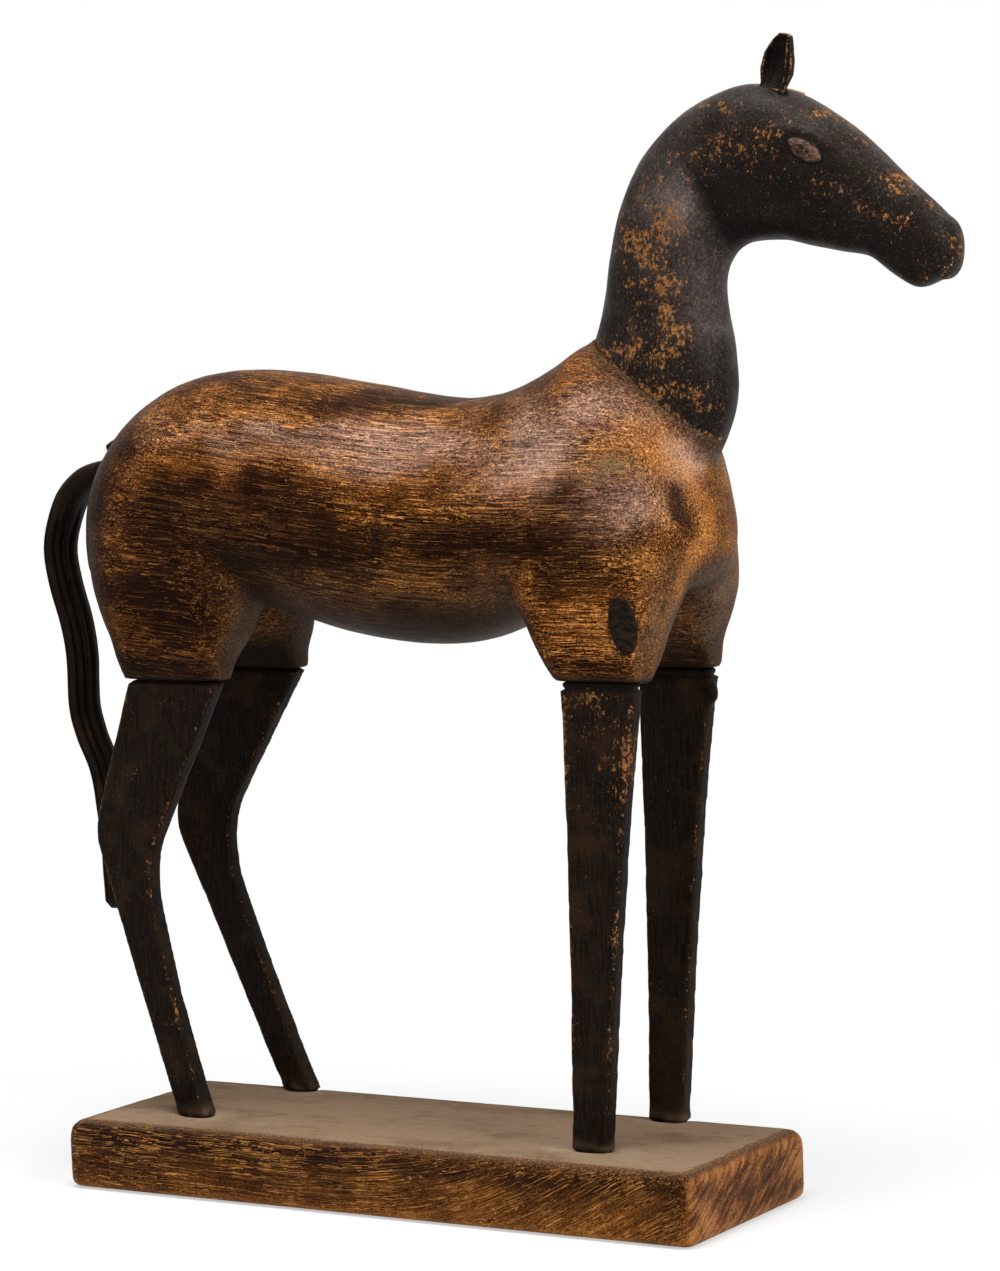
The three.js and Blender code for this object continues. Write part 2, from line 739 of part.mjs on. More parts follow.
/** A level section of the ear, round behind and hollow in front. */
function earRing(height, width, scoop, ahead) {
  const depth = EAR_WIDTH * scoop;
  const outer = [];
  const inner = [];
  for (let p = 0; p <= EAR_POINTS; p += 1) {
    const turn = (Math.PI * p) / EAR_POINTS;
    const across = (Math.cos(turn) * EAR_WIDTH * width) / 2;
    const hollow = across * EAR_HOLLOW_SHARE + ahead;
    outer.push(new THREE.Vector3(across + ahead, Math.sin(turn) * (depth + EAR_WALL / 2), height));
    inner.push(new THREE.Vector3(hollow, Math.sin(turn) * depth - EAR_WALL / 2, height));
  }
  return [...outer, ...inner.reverse()];
}

/** A scooped leaf: its hollow faces local -Y, its root goes down into the poll. */
function ear() {
  const leaf = EAR_STATIONS.map(([up, width, scoop, ahead]) =>
    earRing(EAR_LENGTH * up, width, scoop, ahead),
  );
  return loft(leaf).add(earRoot(LAP, 0));
}

/** The ear's root, up to a height over the poll, with room around it for a socket. */
function earRoot(top, room) {
  const half = (EAR_WIDTH / 2) * EAR_ROOT_SHARE + room;
  const scoop = EAR_WIDTH * EAR_STATIONS[0][2];
  return block(
    [-half, -EAR_WALL / 2 - room, -EAR_ROOT - room],
    [half, EAR_WALL / 2 + scoop + room, top],
  );
}

function earMatrix(head, side) {
  const above = new THREE.Vector3(EAR_X, side * EAR_SIDE, AWAY);
  const seat = touch(head, above, new THREE.Vector3(0, 0, -1)).point;
  const turn = new THREE.Euler(-radians(side * EAR_SPLAY), radians(EAR_LEAN), radians(side * EAR_TURN));
  return matrixOf(seat, turn);
}

// Tail

/** The tail's middle line in x and z, from where it meets the croup. */
const TAIL_PATH = [
  [3, 1],
  [-5, 0.5],
  [-18.5, -4],
  [-31, -14.5],
  [-38.3, -30],
  [-41.2, -45],
  [-38.5, -63],
  [-32.3, -84],
  [-29, -103],
  [-29, -130],
  [-25, -147],
  [-17, -166],
  [-12.5, -190],
  [-10.5, -216],
  [-9.5, -246],
];

/** Where the tail's root meets the croup. */
function tailRoot(solid) {
  const behind = new THREE.Vector3(-AWAY, 0, TAIL_ROOT_Z);
  return touch(solid, behind, new THREE.Vector3(1, 0, 0)).point;
}

/** A bowed bar with grooves along it, from the croup down between the hind slats, and its tenon. */
function tail(root, room) {
  const curve = new THREE.CatmullRomCurve3(
    TAIL_PATH.map(([x, z]) => new THREE.Vector3(x, 0, z)),
    false,
    "centripetal",
  );
  const rings = [];
  for (let k = 0; k <= TAIL_STEPS; k += 1) {
    const share = k / TAIL_STEPS;
    const forward = curve.getTangentAt(share);
    const out = new THREE.Vector3(forward.z, 0, -forward.x);
    rings.push(tailRing(curve.getPointAt(share), out, share, room));
  }
  const solid = loft(rings).add(tailTenon(room));
  return solid.translate([root.x, 0, root.z]);
}

/** A section of the tail, at a share of its length: a rounded box, fluted beyond the root. */
function tailRing(centre, out, share, room) {
  const swell = share < 1 ? Math.min(1, TAIL_ROOT_SHARE + share * 3) : TAIL_TIP_SHARE;
  const half = (THREE.MathUtils.lerp(TAIL_WIDTH, TAIL_TIP_WIDTH, share) / 2) * swell;
  const thick = (TAIL_THICK / 2) * swell;
  const depth = TAIL_GROOVE * Math.min(1, share * TAIL_GROOVES);
  return Array.from({ length: TAIL_POINTS }, (_, p) => {
    const turn = (p / TAIL_POINTS) * 2 * Math.PI;
    const inward = depth * Math.max(0, Math.cos(TAIL_GROOVES * turn)) - room;
    return centre
      .clone()
      .addScaledVector(out, squared(Math.cos(turn), TAIL_POWER) * (thick - inward))
      .add(new THREE.Vector3(0, squared(Math.sin(turn), TAIL_POWER) * (half - inward), 0));
  });
}

function tailTenon(room) {
  const length = TAIL_TENON + TAIL_TENON_BURY + 2 * room;
  const radius = TAIL_TENON_RADIUS + room;
  const geometry = new THREE.CylinderGeometry(radius, radius, length, TENON_POINTS);
  geometry.rotateZ(Math.PI / 2);
  geometry.translate(length / 2 - TAIL_TENON_BURY, 0, 0);
  geometry.rotateY(radians(TAIL_ROOT_RISE));
  return solidOf(geometry);
}

/** A key let into the croup over the tail's root: thin at its upper end, blunt where the tail leaves. */
const WEDGE_OUTLINE = [
  [29, 18.5],
  [8, 8.5],
  [-13, -3.5],
  [-11.5, -8.5],
  [4, -8.5],
  [34, 12],
];

function wedge(room) {
  const shape = new THREE.Shape(WEDGE_OUTLINE.map(([x, z]) => new THREE.Vector2(x, z)));
  const key = new THREE.ExtrudeGeometry(shape, {
    depth: WEDGE_WIDTH,
    bevelEnabled: room > 0,
    bevelThickness: room,
    bevelSize: room,
    bevelSegments: 1,
  });
  key.translate(0, 0, -WEDGE_WIDTH / 2);
  key.rotateX(Math.PI / 2);
  return solidOf(key);
}

function wedgeMatrix(solid) {
  const behind = new THREE.Vector3(-AWAY, 0, WEDGE_Z);
  const seat = touch(solid, behind, new THREE.Vector3(1, 0, 0)).point;
  return new THREE.Matrix4().setPosition(seat);
}

// Shoulder plug

function plug(room) {
  const outline = new THREE.Shape();
  outline.absellipse(0, 0, PLUG_WIDTH / 2 + room, PLUG_LENGTH / 2 + room, 0, 2 * Math.PI);
  const geometry = new THREE.ExtrudeGeometry(outline, {
    depth: PLUG_DEPTH + room + PLUG_PROUD,
    bevelEnabled: false,
    curveSegments: 18,
  });
  geometry.translate(0, 0, -PLUG_DEPTH - room);
  return solidOf(geometry);
}

// Base

/** A plank with rounded top edges, softened lower edges and rounded corners. */
function plank() {
  const rings = [];
  const ring = (inset, z) => {
    const corner = Math.max(BASE_CORNER - inset, BASE_CORNER / 4);
    rings.push(plankRing(BASE_LENGTH / 2 - inset, BASE_WIDTH / 2 - inset, corner, z));
  };
  ring(BASE_FOOT_ROUND, 0);
  ring(BASE_FOOT_ROUND * (1 - Math.SQRT1_2), BASE_FOOT_ROUND * (1 - Math.SQRT1_2));
  ring(0, BASE_FOOT_ROUND);
  for (let k = 0; k <= ROUND_STEPS; k += 1) {
    const turn = ((k / ROUND_STEPS) * Math.PI) / 2;
    ring(BASE_TOP_ROUND * (1 - Math.cos(turn)), BASE_THICK - BASE_TOP_ROUND * (1 - Math.sin(turn)));
  }
  return loft(rings);
}

function plankRing(halfLength, halfWidth, corner, z) {
  const points = [];
  for (let quarter = 0; quarter < 4; quarter += 1) {
    const sx = quarter === 0 || quarter === 3 ? 1 : -1;
    const sy = quarter < 2 ? 1 : -1;
    for (let k = 0; k <= ROUND_STEPS; k += 1) {
      const turn = ((quarter + k / ROUND_STEPS) * Math.PI) / 2;
      points.push(
        new THREE.Vector3(
          sx * (halfLength - corner) + Math.cos(turn) * corner,
          sy * (halfWidth - corner) + Math.sin(turn) * corner,
          z,
        ),
      );
    }
  }
  return points;
}

// Assembly

const trunk = trunkBlock();
const neck = neckBlock();
const headEyes = [-1, 1].map((side) => sidePlace(neck, EYE_X, EYE_Z, side, EYE_TILT));
const headEars = [-1, 1].map((side) => earMatrix(neck, side));
const root = tailRoot(trunk);
const croup = wedgeMatrix(trunk);
const shoulder = sidePlace(trunk, PLUG_X, PLUG_Z, -1, PLUG_TILT);

let torso = trunk.subtract(aboveSeat(0));
let neckHead = neck;
for (const place of [-1, 1]) {
  const hole = placed(dowel(GLUE_GAP), dowelMatrix(place));
  torso = torso.subtract(hole);
  neckHead = neckHead.subtract(hole);
}
for (const entry of SLATS) {
  const mortise = slatTenons(entry, GLUE_GAP).upper.translate([0, 0, -LEG_HEIGHT]);
  torso = torso.subtract(mortise);
}
torso = torso
  .subtract(tail(root, GLUE_GAP))
  .subtract(placed(wedge(GLUE_GAP), croup))
  .subtract(placed(plug(GLUE_GAP), shoulder));
for (const matrix of headEyes) neckHead = neckHead.subtract(placed(eye(GLUE_GAP), matrix));
const socket = earRoot(EAR_LENGTH / 2, GLUE_GAP);
for (const matrix of headEars) neckHead = neckHead.subtract(placed(socket, matrix));

let base = plank();
const horse = new THREE.Group();
horse.position.set(0, HORSE_Y, BASE_THICK);
for (const entry of SLATS) {
  const mortise = slatTenons(entry, GLUE_GAP).lower.translate([0, HORSE_Y, BASE_THICK]);
  base = base.subtract(mortise);
  horse.add(piece(entry.name, slat(entry), LEG_PAINT));
}

const body = new THREE.Group();
body.position.z = LEG_HEIGHT;
horse.add(body);
body.add(piece("torso", torso, STAINED_WOOD));
body.add(piece("neck_head", neckHead, BLACK_PAINT));
body.add(piece("tail", tail(root, 0), LEG_PAINT));

function addAt(name, solid, matrix, finish) {
  const mesh = piece(name, solid, finish);
  mesh.applyMatrix4(matrix);
  body.add(mesh);
}
addAt("tail_wedge", wedge(0), croup, BLACK_PAINT);
addAt("shoulder_plug", plug(0), shoulder, BLACK_PAINT);
addAt("neck_dowel_rear", dowel(0), dowelMatrix(-1), BARE_WOOD);
addAt("neck_dowel_front", dowel(0), dowelMatrix(1), BARE_WOOD);
addAt("eye_right", eye(0), headEyes[0], LEG_PAINT);
addAt("eye_left", eye(0), headEyes[1], LEG_PAINT);
addAt("ear_right", ear(), headEars[0], BLACK_PAINT);
addAt("ear_left_stump", earRoot(STUMP_HEIGHT, 0), headEars[1], BARE_WOOD);

const statue = new THREE.Group();
statue.add(piece("base", base, DUSTY_WOOD));
statue.add(horse);

export default statue;
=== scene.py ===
"""Folk art horse statue: carved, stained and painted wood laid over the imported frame."""

import math

import bmesh
import bpy
import numpy as np
from mathutils import Matrix, Vector


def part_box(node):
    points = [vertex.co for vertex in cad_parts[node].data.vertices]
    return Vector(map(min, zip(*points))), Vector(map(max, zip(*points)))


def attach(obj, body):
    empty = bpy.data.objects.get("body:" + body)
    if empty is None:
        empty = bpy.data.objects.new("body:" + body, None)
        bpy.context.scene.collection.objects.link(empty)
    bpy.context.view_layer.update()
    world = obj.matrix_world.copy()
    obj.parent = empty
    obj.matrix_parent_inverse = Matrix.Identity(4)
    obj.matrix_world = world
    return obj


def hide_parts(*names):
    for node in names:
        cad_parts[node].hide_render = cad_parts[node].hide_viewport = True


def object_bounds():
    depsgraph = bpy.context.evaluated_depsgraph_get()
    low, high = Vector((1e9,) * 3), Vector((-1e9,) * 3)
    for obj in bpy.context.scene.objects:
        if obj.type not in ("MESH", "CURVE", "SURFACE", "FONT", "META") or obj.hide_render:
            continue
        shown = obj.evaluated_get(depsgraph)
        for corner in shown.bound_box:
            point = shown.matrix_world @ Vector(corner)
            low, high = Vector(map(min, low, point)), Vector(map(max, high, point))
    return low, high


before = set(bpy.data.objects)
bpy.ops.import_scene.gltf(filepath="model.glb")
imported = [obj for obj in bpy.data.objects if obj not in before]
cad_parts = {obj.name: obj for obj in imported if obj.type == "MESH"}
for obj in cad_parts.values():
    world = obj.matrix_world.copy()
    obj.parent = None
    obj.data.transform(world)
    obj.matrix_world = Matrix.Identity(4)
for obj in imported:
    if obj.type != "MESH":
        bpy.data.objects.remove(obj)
CAD_BOX = [list(corner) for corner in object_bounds()]

MM = 0.001

# Places shared by the shapes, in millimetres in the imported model's frame

HORSE_Y = 15.5
PLANK_TOP = 37.0
TRUNK_Z = 280.0
SLAT_TOP = 276.0


# Sections and lofts


def squared(value, power):
    """One coordinate of a section between a diamond (1), an ellipse (2) and a box (large)."""
    return np.sign(value) * np.abs(value) ** (2.0 / power)


def through(rows, count):
    """A smooth curve through rows of numbers, read at evenly spaced places from end to end."""
    rows = np.asarray(rows, float)
    places = np.linspace(0, len(rows) - 1, count)
    i = np.minimum(np.floor(places).astype(int), len(rows) - 2)
    t = (places - i)[:, None]
    before, start = rows[np.maximum(i - 1, 0)], rows[i]
    end, after = rows[i + 1], rows[np.minimum(i + 2, len(rows) - 1)]
    leave, arrive, rise = (end - before) / 2, (after - start) / 2, end - start
    return start + t * (leave + t * (3 * rise - 2 * leave - arrive + t * (leave + arrive - 2 * rise)))


def once_round(points):
    """Angles once round, evenly spaced."""
    return np.linspace(0, 2 * np.pi, points, endpoint=False)


def unit(vectors):
    """Vectors made one long."""
    return vectors / np.maximum(np.linalg.norm(vectors, axis=1)[:, None], 1e-12)


def body_rings(stations, rings, points):
    """Upright sections of a body: for each station the upper and lower end, half width and power
    give a squared ellipse whose widest line lies the given share of the way down."""
    s = through(stations, rings)[:, :, None]
    ux, uz, lx, lz, half, power, widest = (s[:, k] for k in range(7))
    cx, cz = ux + (lx - ux) * widest, uz + (lz - uz) * widest
    turn = once_round(points)[None]
    up, side = squared(np.cos(turn), power), squared(np.sin(turn), power)
    x = cx + np.where(up > 0, up * (ux - cx), up * (cx - lx))
    z = cz + np.where(up > 0, up * (uz - cz), up * (cz - lz))
    return np.stack([x, side * half, z], -1)


def level_rings(rows, rings, points):
    """Level rounded sections: height, x from and to, y from and to, and power."""
    s = through(rows, rings)[:, :, None]
    z, x1, x2, y1, y2, power = (s[:, k] for k in range(6))
    turn = once_round(points)[None]
    x = (x1 + x2) / 2 + squared(np.cos(turn), power) * (x2 - x1) / 2
    y = (y1 + y2) / 2 + squared(np.sin(turn), power) * (y2 - y1) / 2
    return np.stack([x, y, z + 0 * x], -1)


def rounded_end(ring, direction, bulge, steps):
    """Rings that close a loft past its end ring along a quarter ellipse."""
    centre = ring.mean(0)
    turn = np.linspace(0, np.pi / 2, steps + 1)[1:, None, None] * 0.985
    return centre + (ring - centre) * np.cos(turn) + np.asarray(direction) * bulge * np.sin(turn)


# Meshes


def grid_faces(rings, points):
    """Four-sided faces between rings of points, with the rings closed."""
    ring, k = np.arange(rings - 1)[:, None] * points, np.arange(points)[None]
    a, b = ring + k, ring + (k + 1) % points
    return np.stack([a, b, b + points, a + points], -1).reshape(-1, 4)


def closed_loft(rings):
    """Vertices and faces of a loft with a fan over each end."""
    n, m, _ = rings.shape
    verts = np.concatenate([rings.reshape(-1, 3), rings[:1].mean(1), rings[-1:].mean(1)])
    k = np.arange(m)
    low = np.stack([np.full(m, n * m), (k + 1) % m, k], -1)
    high = np.stack([np.full(m, n * m + 1), (n - 1) * m + k, (n - 1) * m + (k + 1) % m], -1)
    return verts, grid_faces(n, m).tolist() + low.tolist() + high.tolist()


def mesh_of(name, verts, faces):
    """A mesh of the given points and faces."""
    mesh = bpy.data.meshes.new(name)
    mesh.from_pydata(verts.tolist(), [], faces)
    mesh.update()
    return mesh


def placed(name, data):
    """A new object in the scene for a mesh, a lamp or a camera."""
    obj = bpy.data.objects.new(name, data)
    bpy.context.scene.collection.objects.link(obj)
    return obj


def turned_out(mesh):
    """Merges doubles and makes every face point outwards."""
    bm = bmesh.new()
    bm.from_mesh(mesh)
    bmesh.ops.remove_doubles(bm, verts=bm.verts, dist=1e-6)
    bmesh.ops.recalc_face_normals(bm, faces=bm.faces)
    bm.to_mesh(mesh)
    bm.free()
    return mesh


def voxelled(parts, voxel, rounds=0, convex=0.0, concave=0.0):
    """One skin round overlapping closed shapes, from their distance field, and then smoothed."""
    verts, faces, start = [], [], 0
    for part_verts, part_faces in parts:
        verts.append(part_verts)
        faces += [[k + start for k in face] for face in part_faces]
        start += len(part_verts)
    holder = placed("shape", turned_out(mesh_of("shape", np.concatenate(verts), faces)))
    skin = holder.modifiers.new("skin", "REMESH")
    skin.mode = "VOXEL"
    skin.voxel_size = voxel
    skin.adaptivity = 0.0
    graph = bpy.context.evaluated_depsgraph_get()
    result = bpy.data.meshes.new_from_object(holder.evaluated_get(graph))
    bpy.data.objects.remove(holder)
    verts, faces, edges = read_mesh(result)
    return relaxed(verts, faces, edges, rounds, convex, concave), faces, edges


def read_mesh(mesh):
    """Vertices as an array, faces as lists, and edges as an array."""
    verts = np.zeros(len(mesh.vertices) * 3)
    mesh.vertices.foreach_get("co", verts)
    edges = np.zeros(len(mesh.edges) * 2, int)
    mesh.edges.foreach_get("vertices", edges)
    sizes = np.zeros(len(mesh.polygons), int)
    mesh.polygons.foreach_get("loop_total", sizes)
    corners = np.zeros(len(mesh.loops), int)
    mesh.loops.foreach_get("vertex_index", corners)
    faces = [f.tolist() for f in np.split(corners, np.cumsum(sizes)[:-1])]
    return verts.reshape(-1, 3), faces, edges.reshape(-1, 2)


def node_shape(name):
    """A CAD node's own surface, its doubles merged, in millimetres."""
    verts, faces, _ = read_mesh(turned_out(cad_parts[name].data.copy()))
    return verts / MM, faces


def neighbours_mean(verts, edges):
    """The mean of each vertex's neighbours."""
    total = np.zeros_like(verts)
    for one, other in (edges.T, edges.T[::-1]):
        np.add.at(total, one, verts[other])
    count = np.bincount(edges.ravel(), minlength=len(verts))[:, None]
    return total / np.maximum(count, 1)


def normals_of(verts, faces):
    """Outward unit normals at the vertices of four-sided faces."""
    quads = np.array([(*f, f[-1])[:4] for f in faces])
    a, b, c, d = (verts[quads[:, k]] for k in range(4))
    face = np.cross(c - a, d - b)
    total = np.zeros_like(verts)
    for k in range(4):
        np.add.at(total, quads[:, k], face)
    return unit(total)


def relaxed(verts, faces, edges, rounds, convex, concave):
    """Smooths a skin: hollows fill by the concave share, and ridges wear by the convex one."""
    for _ in range(rounds):
        step = neighbours_mean(verts, edges) - verts
        out = (step * normals_of(verts, faces)).sum(1)
        verts = verts + step * np.where(out > 0, concave, convex)[:, None]
    return verts


def lie_of(verts, faces, edges, rounds):
    """The way each vertex faces, and how far it stands proud of its surroundings in millimetres:
    its distance from a copy whose vertices were drawn to their neighbours' mean some rounds long."""
    soft = verts
    for _ in range(rounds):
        soft = soft + 0.6 * (neighbours_mean(soft, edges) - soft)
    out = normals_of(verts, faces)
    return out, ((verts - soft) * out).sum(1)


def noise(points, size, seed, octaves=2):
    """Smooth value noise between -1 and 1, with bumps of about the given size in millimetres."""
    total, weight, reach = np.zeros(len(points)), 0.0, 1.0
    for k in range(octaves):
        p = points / size * 2**k + seed * 17.13 + k * 5.7
        cell = np.floor(p).astype(np.int64)
        t = p - cell
        t = t * t * (3 - 2 * t)
        value = np.zeros(len(points))
        for corner in range(8):
            offset = np.array([corner & 1, corner >> 1 & 1, corner >> 2 & 1])
            c = cell + offset
            h = c[:, 0] * 374761393 + c[:, 1] * 668265263 + c[:, 2] * 2147483647 + seed * 974711
            h = (h ^ (h >> 13)) * 1274126177
            h = ((h ^ (h >> 16)) & 0xFFFF) / 32767.5 - 1.0
            value += h * np.prod(np.where(offset, t, 1 - t), axis=1)
        total += value * reach
        weight += reach
        reach *= 0.5
    return total / weight


def clipped(values):
    """Values cut off below nought and above one."""
    return np.clip(values, 0, 1)


def close_to(distance, reach):
    """One where a distance is nought, falling off as a bell over the given reach."""
    return np.exp(-((distance / reach) ** 2))


def dab(points, centre, radii):
    """A soft spot: one at its centre, falling off along x, y and z over the given radii."""
    return np.exp(-(((points - centre) / radii) ** 2).sum(1))


def dabs(points, spots):
    """The strongest of several soft spots, each a row of its centre, its radii and its strength,
    with ragged outlines because the points are first pushed about by noise."""
    push = np.stack([noise(points, 20, seed, 3) for seed in (41, 42, 43)], -1)
    moved = points + push * (22.0, 14.0, 14.0)
    out = np.zeros(len(points))
    for spot in spots:
        out = np.maximum(out, spot[6] * dab(moved, spot[:3], spot[3:6]))
    return out


def oval_share(xz, centre, turn, half):
    """How far out points lie of a turned oval in x and z: one on its outline."""
    u, v = xz[:, 0] - centre[0], xz[:, 1] - centre[1]
    along = u * math.cos(turn) + v * math.sin(turn)
    across = v * math.cos(turn) - u * math.sin(turn)
    return np.hypot(along / half[0], across / half[1])


def line_distance(points, line):
    """How far points are from a bent line, and the place along it of the nearest."""
    best, place = np.full(len(points), np.inf), np.zeros(len(points))
    for k, (a, b) in enumerate(zip(line[:-1], line[1:])):
        t = clipped(((points - a) @ (b - a)) / ((b - a) @ (b - a)))
        far = np.linalg.norm(points - a - t[:, None] * (b - a), axis=1)
        place = np.where(far < best, k + t, place)
        best = np.minimum(best, far)
    return best, place


def piece(name, shape, material, slot, *replaces):
    """Makes a named piece of a shape's points, faces and attributes, in its place, and lets it ride
    on the model's body."""
    verts, faces, attributes = shape
    mesh = mesh_of(name, np.clip(verts * MM, *CAD_BOX), faces)
    for key, values in attributes.items():
        layer = mesh.attributes.new(key, "FLOAT", "POINT")
        layer.data.foreach_set("value", values.astype(np.float32))
    mesh.shade_smooth()
    obj = placed(name, mesh)
    mesh.materials.append(material)
    if replaces:
        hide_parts(*replaces)
    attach(obj, "root")
    return obj


# Materials


class Tree:
    """The nodes of a new material or world, written as nested calls."""

    def __init__(self, name, kind=bpy.data.materials):
        """Starts from no nodes at all."""
        self.owner = kind.new(name)
        self.owner.use_nodes = True
        self.tree = self.owner.node_tree
        self.tree.nodes.clear()

    def node(self, kind, values=None, **settings):
        """Adds a node, with values or links at its inputs and settings on itself."""
        node = self.tree.nodes.new("ShaderNode" + kind)
        for key, value in settings.items():
            setattr(node, key, value)
        for key, value in (values or {}).items():
            socket = node.inputs[key]
            if isinstance(value, bpy.types.NodeSocket):
                self.tree.links.new(value, socket)
            else:
                socket.default_value = value
        return node

    def calc(self, operation, a, b=0.0, clamp=False):
        """One reckoning on two numbers."""
        return self.node("Math", {0: a, 1: b}, operation=operation, use_clamp=clamp).outputs[0]

    def times(self, a, b, clamp=False):
        """The product of two numbers."""
        return self.calc("MULTIPLY", a, b, clamp)

    def total(self, *values):
        """The sum of several numbers."""
        out = values[0]
        for value in values[1:]:
            out = self.calc("ADD", out, value)
        return out

    def vector_calc(self, operation, values):
        """One reckoning on vectors."""
        return self.node("VectorMath", values, operation=operation).outputs[0]

    def split(self, vector):
        """The x, y and z of a vector."""
        return self.node("SeparateXYZ", {0: vector}).outputs

    def joined(self, x, y, z):
        """A vector of x, y and z."""
        return self.node("CombineXYZ", {0: x, 1: y, 2: z}).outputs[0]

    def scaled(self, vector, scale, turn=(0, 0, 0)):
        """The vector turned and then stretched along x, y and z."""
        values = {"Vector": vector, "Scale": scale, "Rotation": turn}
        return self.node("Mapping", values).outputs[0]

    def noise(self, vector, scale, detail=2.0, rough=0.5, color=False):
        """Cloudy noise between 0 and 1, with the given number of bumps to a metre."""
        values = {"Vector": vector, "Scale": scale, "Detail": detail, "Roughness": rough}
        return self.node("TexNoise", values).outputs["Color" if color else "Fac"]

    def streaks(self, vector, scale, detail=2.0, rough=0.5, turn=(0, 0, 0)):
        """Noise stretched along one way, with its bumps to a metre along x, y and z."""
        return self.noise(self.scaled(vector, scale, turn), 1, detail, rough)

    def staggered(self, vector, across=1300, amount=0.12):
        """The vector with each streak along x moved by its own amount, so that none end in line."""
        x, y, z = self.split(vector)
        push = self.spread(self.streaks(vector, (3, across, across), 0), amount)
        return self.joined(self.total(x, push), y, z)

    def warped(self, vector, scale, amount):
        """The vector pushed about by slow noise."""
        push = self.vector_calc("SUBTRACT", {0: self.noise(vector, scale, 2, color=True), 1: (0.5,) * 3})
        push = self.vector_calc("SCALE", {0: push, "Scale": amount})
        return self.vector_calc("ADD", {0: vector, 1: push})

    def step(self, value, low, high, to_low=0.0, to_high=1.0):
        """A smooth step from one value to another as the input goes from low to high."""
        values = {"Value": value, "From Min": low, "From Max": high, "To Min": to_low, "To Max": to_high}
        return self.node("MapRange", values, interpolation_type="SMOOTHSTEP").outputs[0]

    def mix(self, share, a, b):
        """One colour going over into another."""
        a, b = ((*color, 1.0) if isinstance(color, tuple) else color for color in (a, b))
        return self.node("Mix", {0: share, 6: a, 7: b}, data_type="RGBA").outputs[2]

    def layers(self, under, *rows):
        """Colours laid one over another, each a row of its share, the share's strength and itself."""
        for share, strength, color in rows:
            under = self.mix(self.times(share, strength), under, color)
        return under

    def ramp(self, value, *stops):
        """Colours at places between 0 and 1, one going over into the next: rows of place and colour."""
        node = self.node("ValToRGB", {0: value})
        marks = node.color_ramp.elements
        while len(marks) < len(stops):
            marks.new(1.0)
        for mark, (place, *color) in zip(marks, stops):
            mark.position = place
            mark.color = (*color, 1.0)
        return node.outputs[0]

    def spread(self, value, share):
        """A noise value as a push to either side of nought."""
        return self.times(self.calc("SUBTRACT", value, 0.5), share)

    def given(self, name):
        """One of the piece's own attributes."""
        return self.node("Attribute", attribute_name=name).outputs["Fac"]

    def coords(self):
        """Places on the piece, in metres, in its object's own frame."""
        return self.node("TexCoord").outputs["Object"]

    def seen(self):
        """One for what the camera sees, straight, in a reflection or through glass."""
        rays = self.node("LightPath").outputs
        seen = self.calc("MAXIMUM", rays["Is Camera Ray"], rays["Is Glossy Ray"])
        return self.calc("MAXIMUM", seen, rays["Is Transmission Ray"])

    def facing(self):
        """The direction that the surface faces, as three numbers."""
        return self.split(self.node("NewGeometry").outputs["Normal"])

    def bump(self, height, strength, distance, below=None):
        """Small relief, laid over another one where it is given."""
        values = {"Height": height, "Strength": strength, "Distance": distance}
        if below is not None:
            values["Normal"] = below
        return self.node("Bump", values).outputs[0]

    def surface(self, color, rough, normal, specular):
        """A plain surface: its colour, its roughness, its relief and how much it shines."""
        values = {"Base Color": color, "Roughness": rough, "Normal": normal, "Specular IOR Level": specular}
        return self.node("BsdfPrincipled", values).outputs[0]

    def finish(self, shader, kind="OutputMaterial"):
        """Joins a shader to the output, and gives the material or world back."""
        self.tree.links.new(shader, self.node(kind).inputs[0])
        return self.owner


